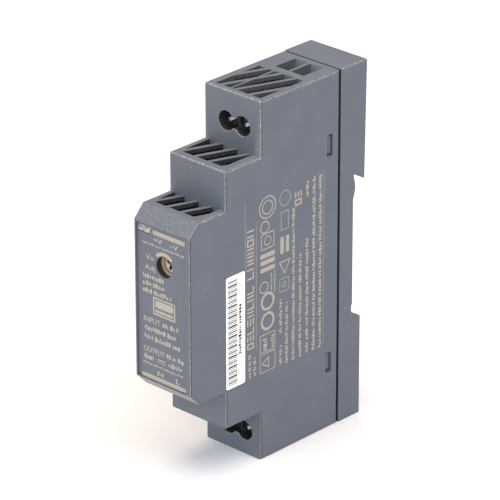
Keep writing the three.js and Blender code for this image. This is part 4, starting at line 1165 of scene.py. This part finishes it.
def camera():
    azimuth, elevation, roll = (math.radians(a) for a in (43.401, 24.529, 0.072))
    distance, aside, above = 883.731 * MM, 1.122 * MM, 4.194 * MM
    aim = Vector((0, front_y / 2, 0))
    back = Vector((math.sin(azimuth) * math.cos(elevation),
                   -math.cos(azimuth) * math.cos(elevation), math.sin(elevation)))
    right = Vector((0, 0, 1)).cross(back).normalized()
    up = back.cross(right)
    data = bpy.data.cameras.new("camera")
    data.lens = 276.95
    data.sensor_width = 36
    data.clip_start = 0.05
    data.clip_end = 20
    view = bpy.data.objects.new("camera", data)
    bpy.context.scene.collection.objects.link(view)
    turn = Matrix((right, up, back)).transposed().to_4x4() @ Matrix.Rotation(-roll, 4, "Z")
    view.matrix_world = Matrix.Translation(aim + aside * right + above * up + distance * back) @ turn
    bpy.context.scene.camera = view
    return view


def floor():
    bpy.ops.mesh.primitive_plane_add(size=6, location=(0, 0, housing_low.z))
    plane = added("floor")
    finish = Finish("floor_paint", 0.9)
    patches = finish.noise(400 * MM, 2)
    finish.colour(finish.ramp(patches, (0.3, (0.78, 0.79, 0.82, 1)), (0.7, (0.82, 0.83, 0.86, 1))))
    plane.data.materials.append(finish.material)
    return plane


def area_light(name, place, side, power, colour):
    """A square light that is aimed at the middle of the device."""
    aim = Vector((0, -0.03, 0))
    data = bpy.data.lights.new(name, "AREA")
    data.shape = "RECTANGLE"
    data.size, data.size_y = side, side
    data.energy = power
    data.color = colour
    light = bpy.data.objects.new(name, data)
    bpy.context.scene.collection.objects.link(light)
    light.location = place
    light.rotation_euler = (aim - Vector(place)).to_track_quat("-Z", "Y").to_euler()
    return light


def lighting():
    world = bpy.data.worlds.new("studio")
    bpy.context.scene.world = world
    world.use_nodes = True
    sky = world.node_tree.nodes["Background"].inputs
    sky["Color"].default_value = WHITE
    sky["Strength"].default_value = 0.44
    beside_camera = bpy.context.scene.camera.location.normalized() * 1.1
    area_light("top_light", (0.0, -0.1, 0.9), 0.9, 10, (1.0, 0.8, 0.64))
    area_light("front_light", (-0.5, -1.1, 0.5), 0.9, 6.8, (0.92, 0.97, 1.0))
    area_light("fill_light", beside_camera, 0.4, 3.0, (0.96, 0.97, 1.0))
    area_light("side_light", (0.28, -0.03, 0.32), 0.25, 0.85, (0.86, 0.94, 1.0))


# ---------------------------------------------------------------------------
# Assembly
# ---------------------------------------------------------------------------

camera()
floor()
lighting()

front_shell()
rear_shell()
latch_slider()

print_tile = tile_model()
front_marks(print_tile)
side_marks(print_tile)
label_film_piece()
label_marks(print_tile)
bpy.data.objects.remove(print_tile, do_unlink=True)

for screw_node in SCREWS:
    clamp_screw(screw_node)
trimmer_knob()
latch_coil()
for row in frame["record"]["subparts"]:
    if not frame["nodes"][row["node"]].hide_render:
        softened(row["node"], row["material_slot"])

bpy.context.scene.view_settings.view_transform = "Standard"
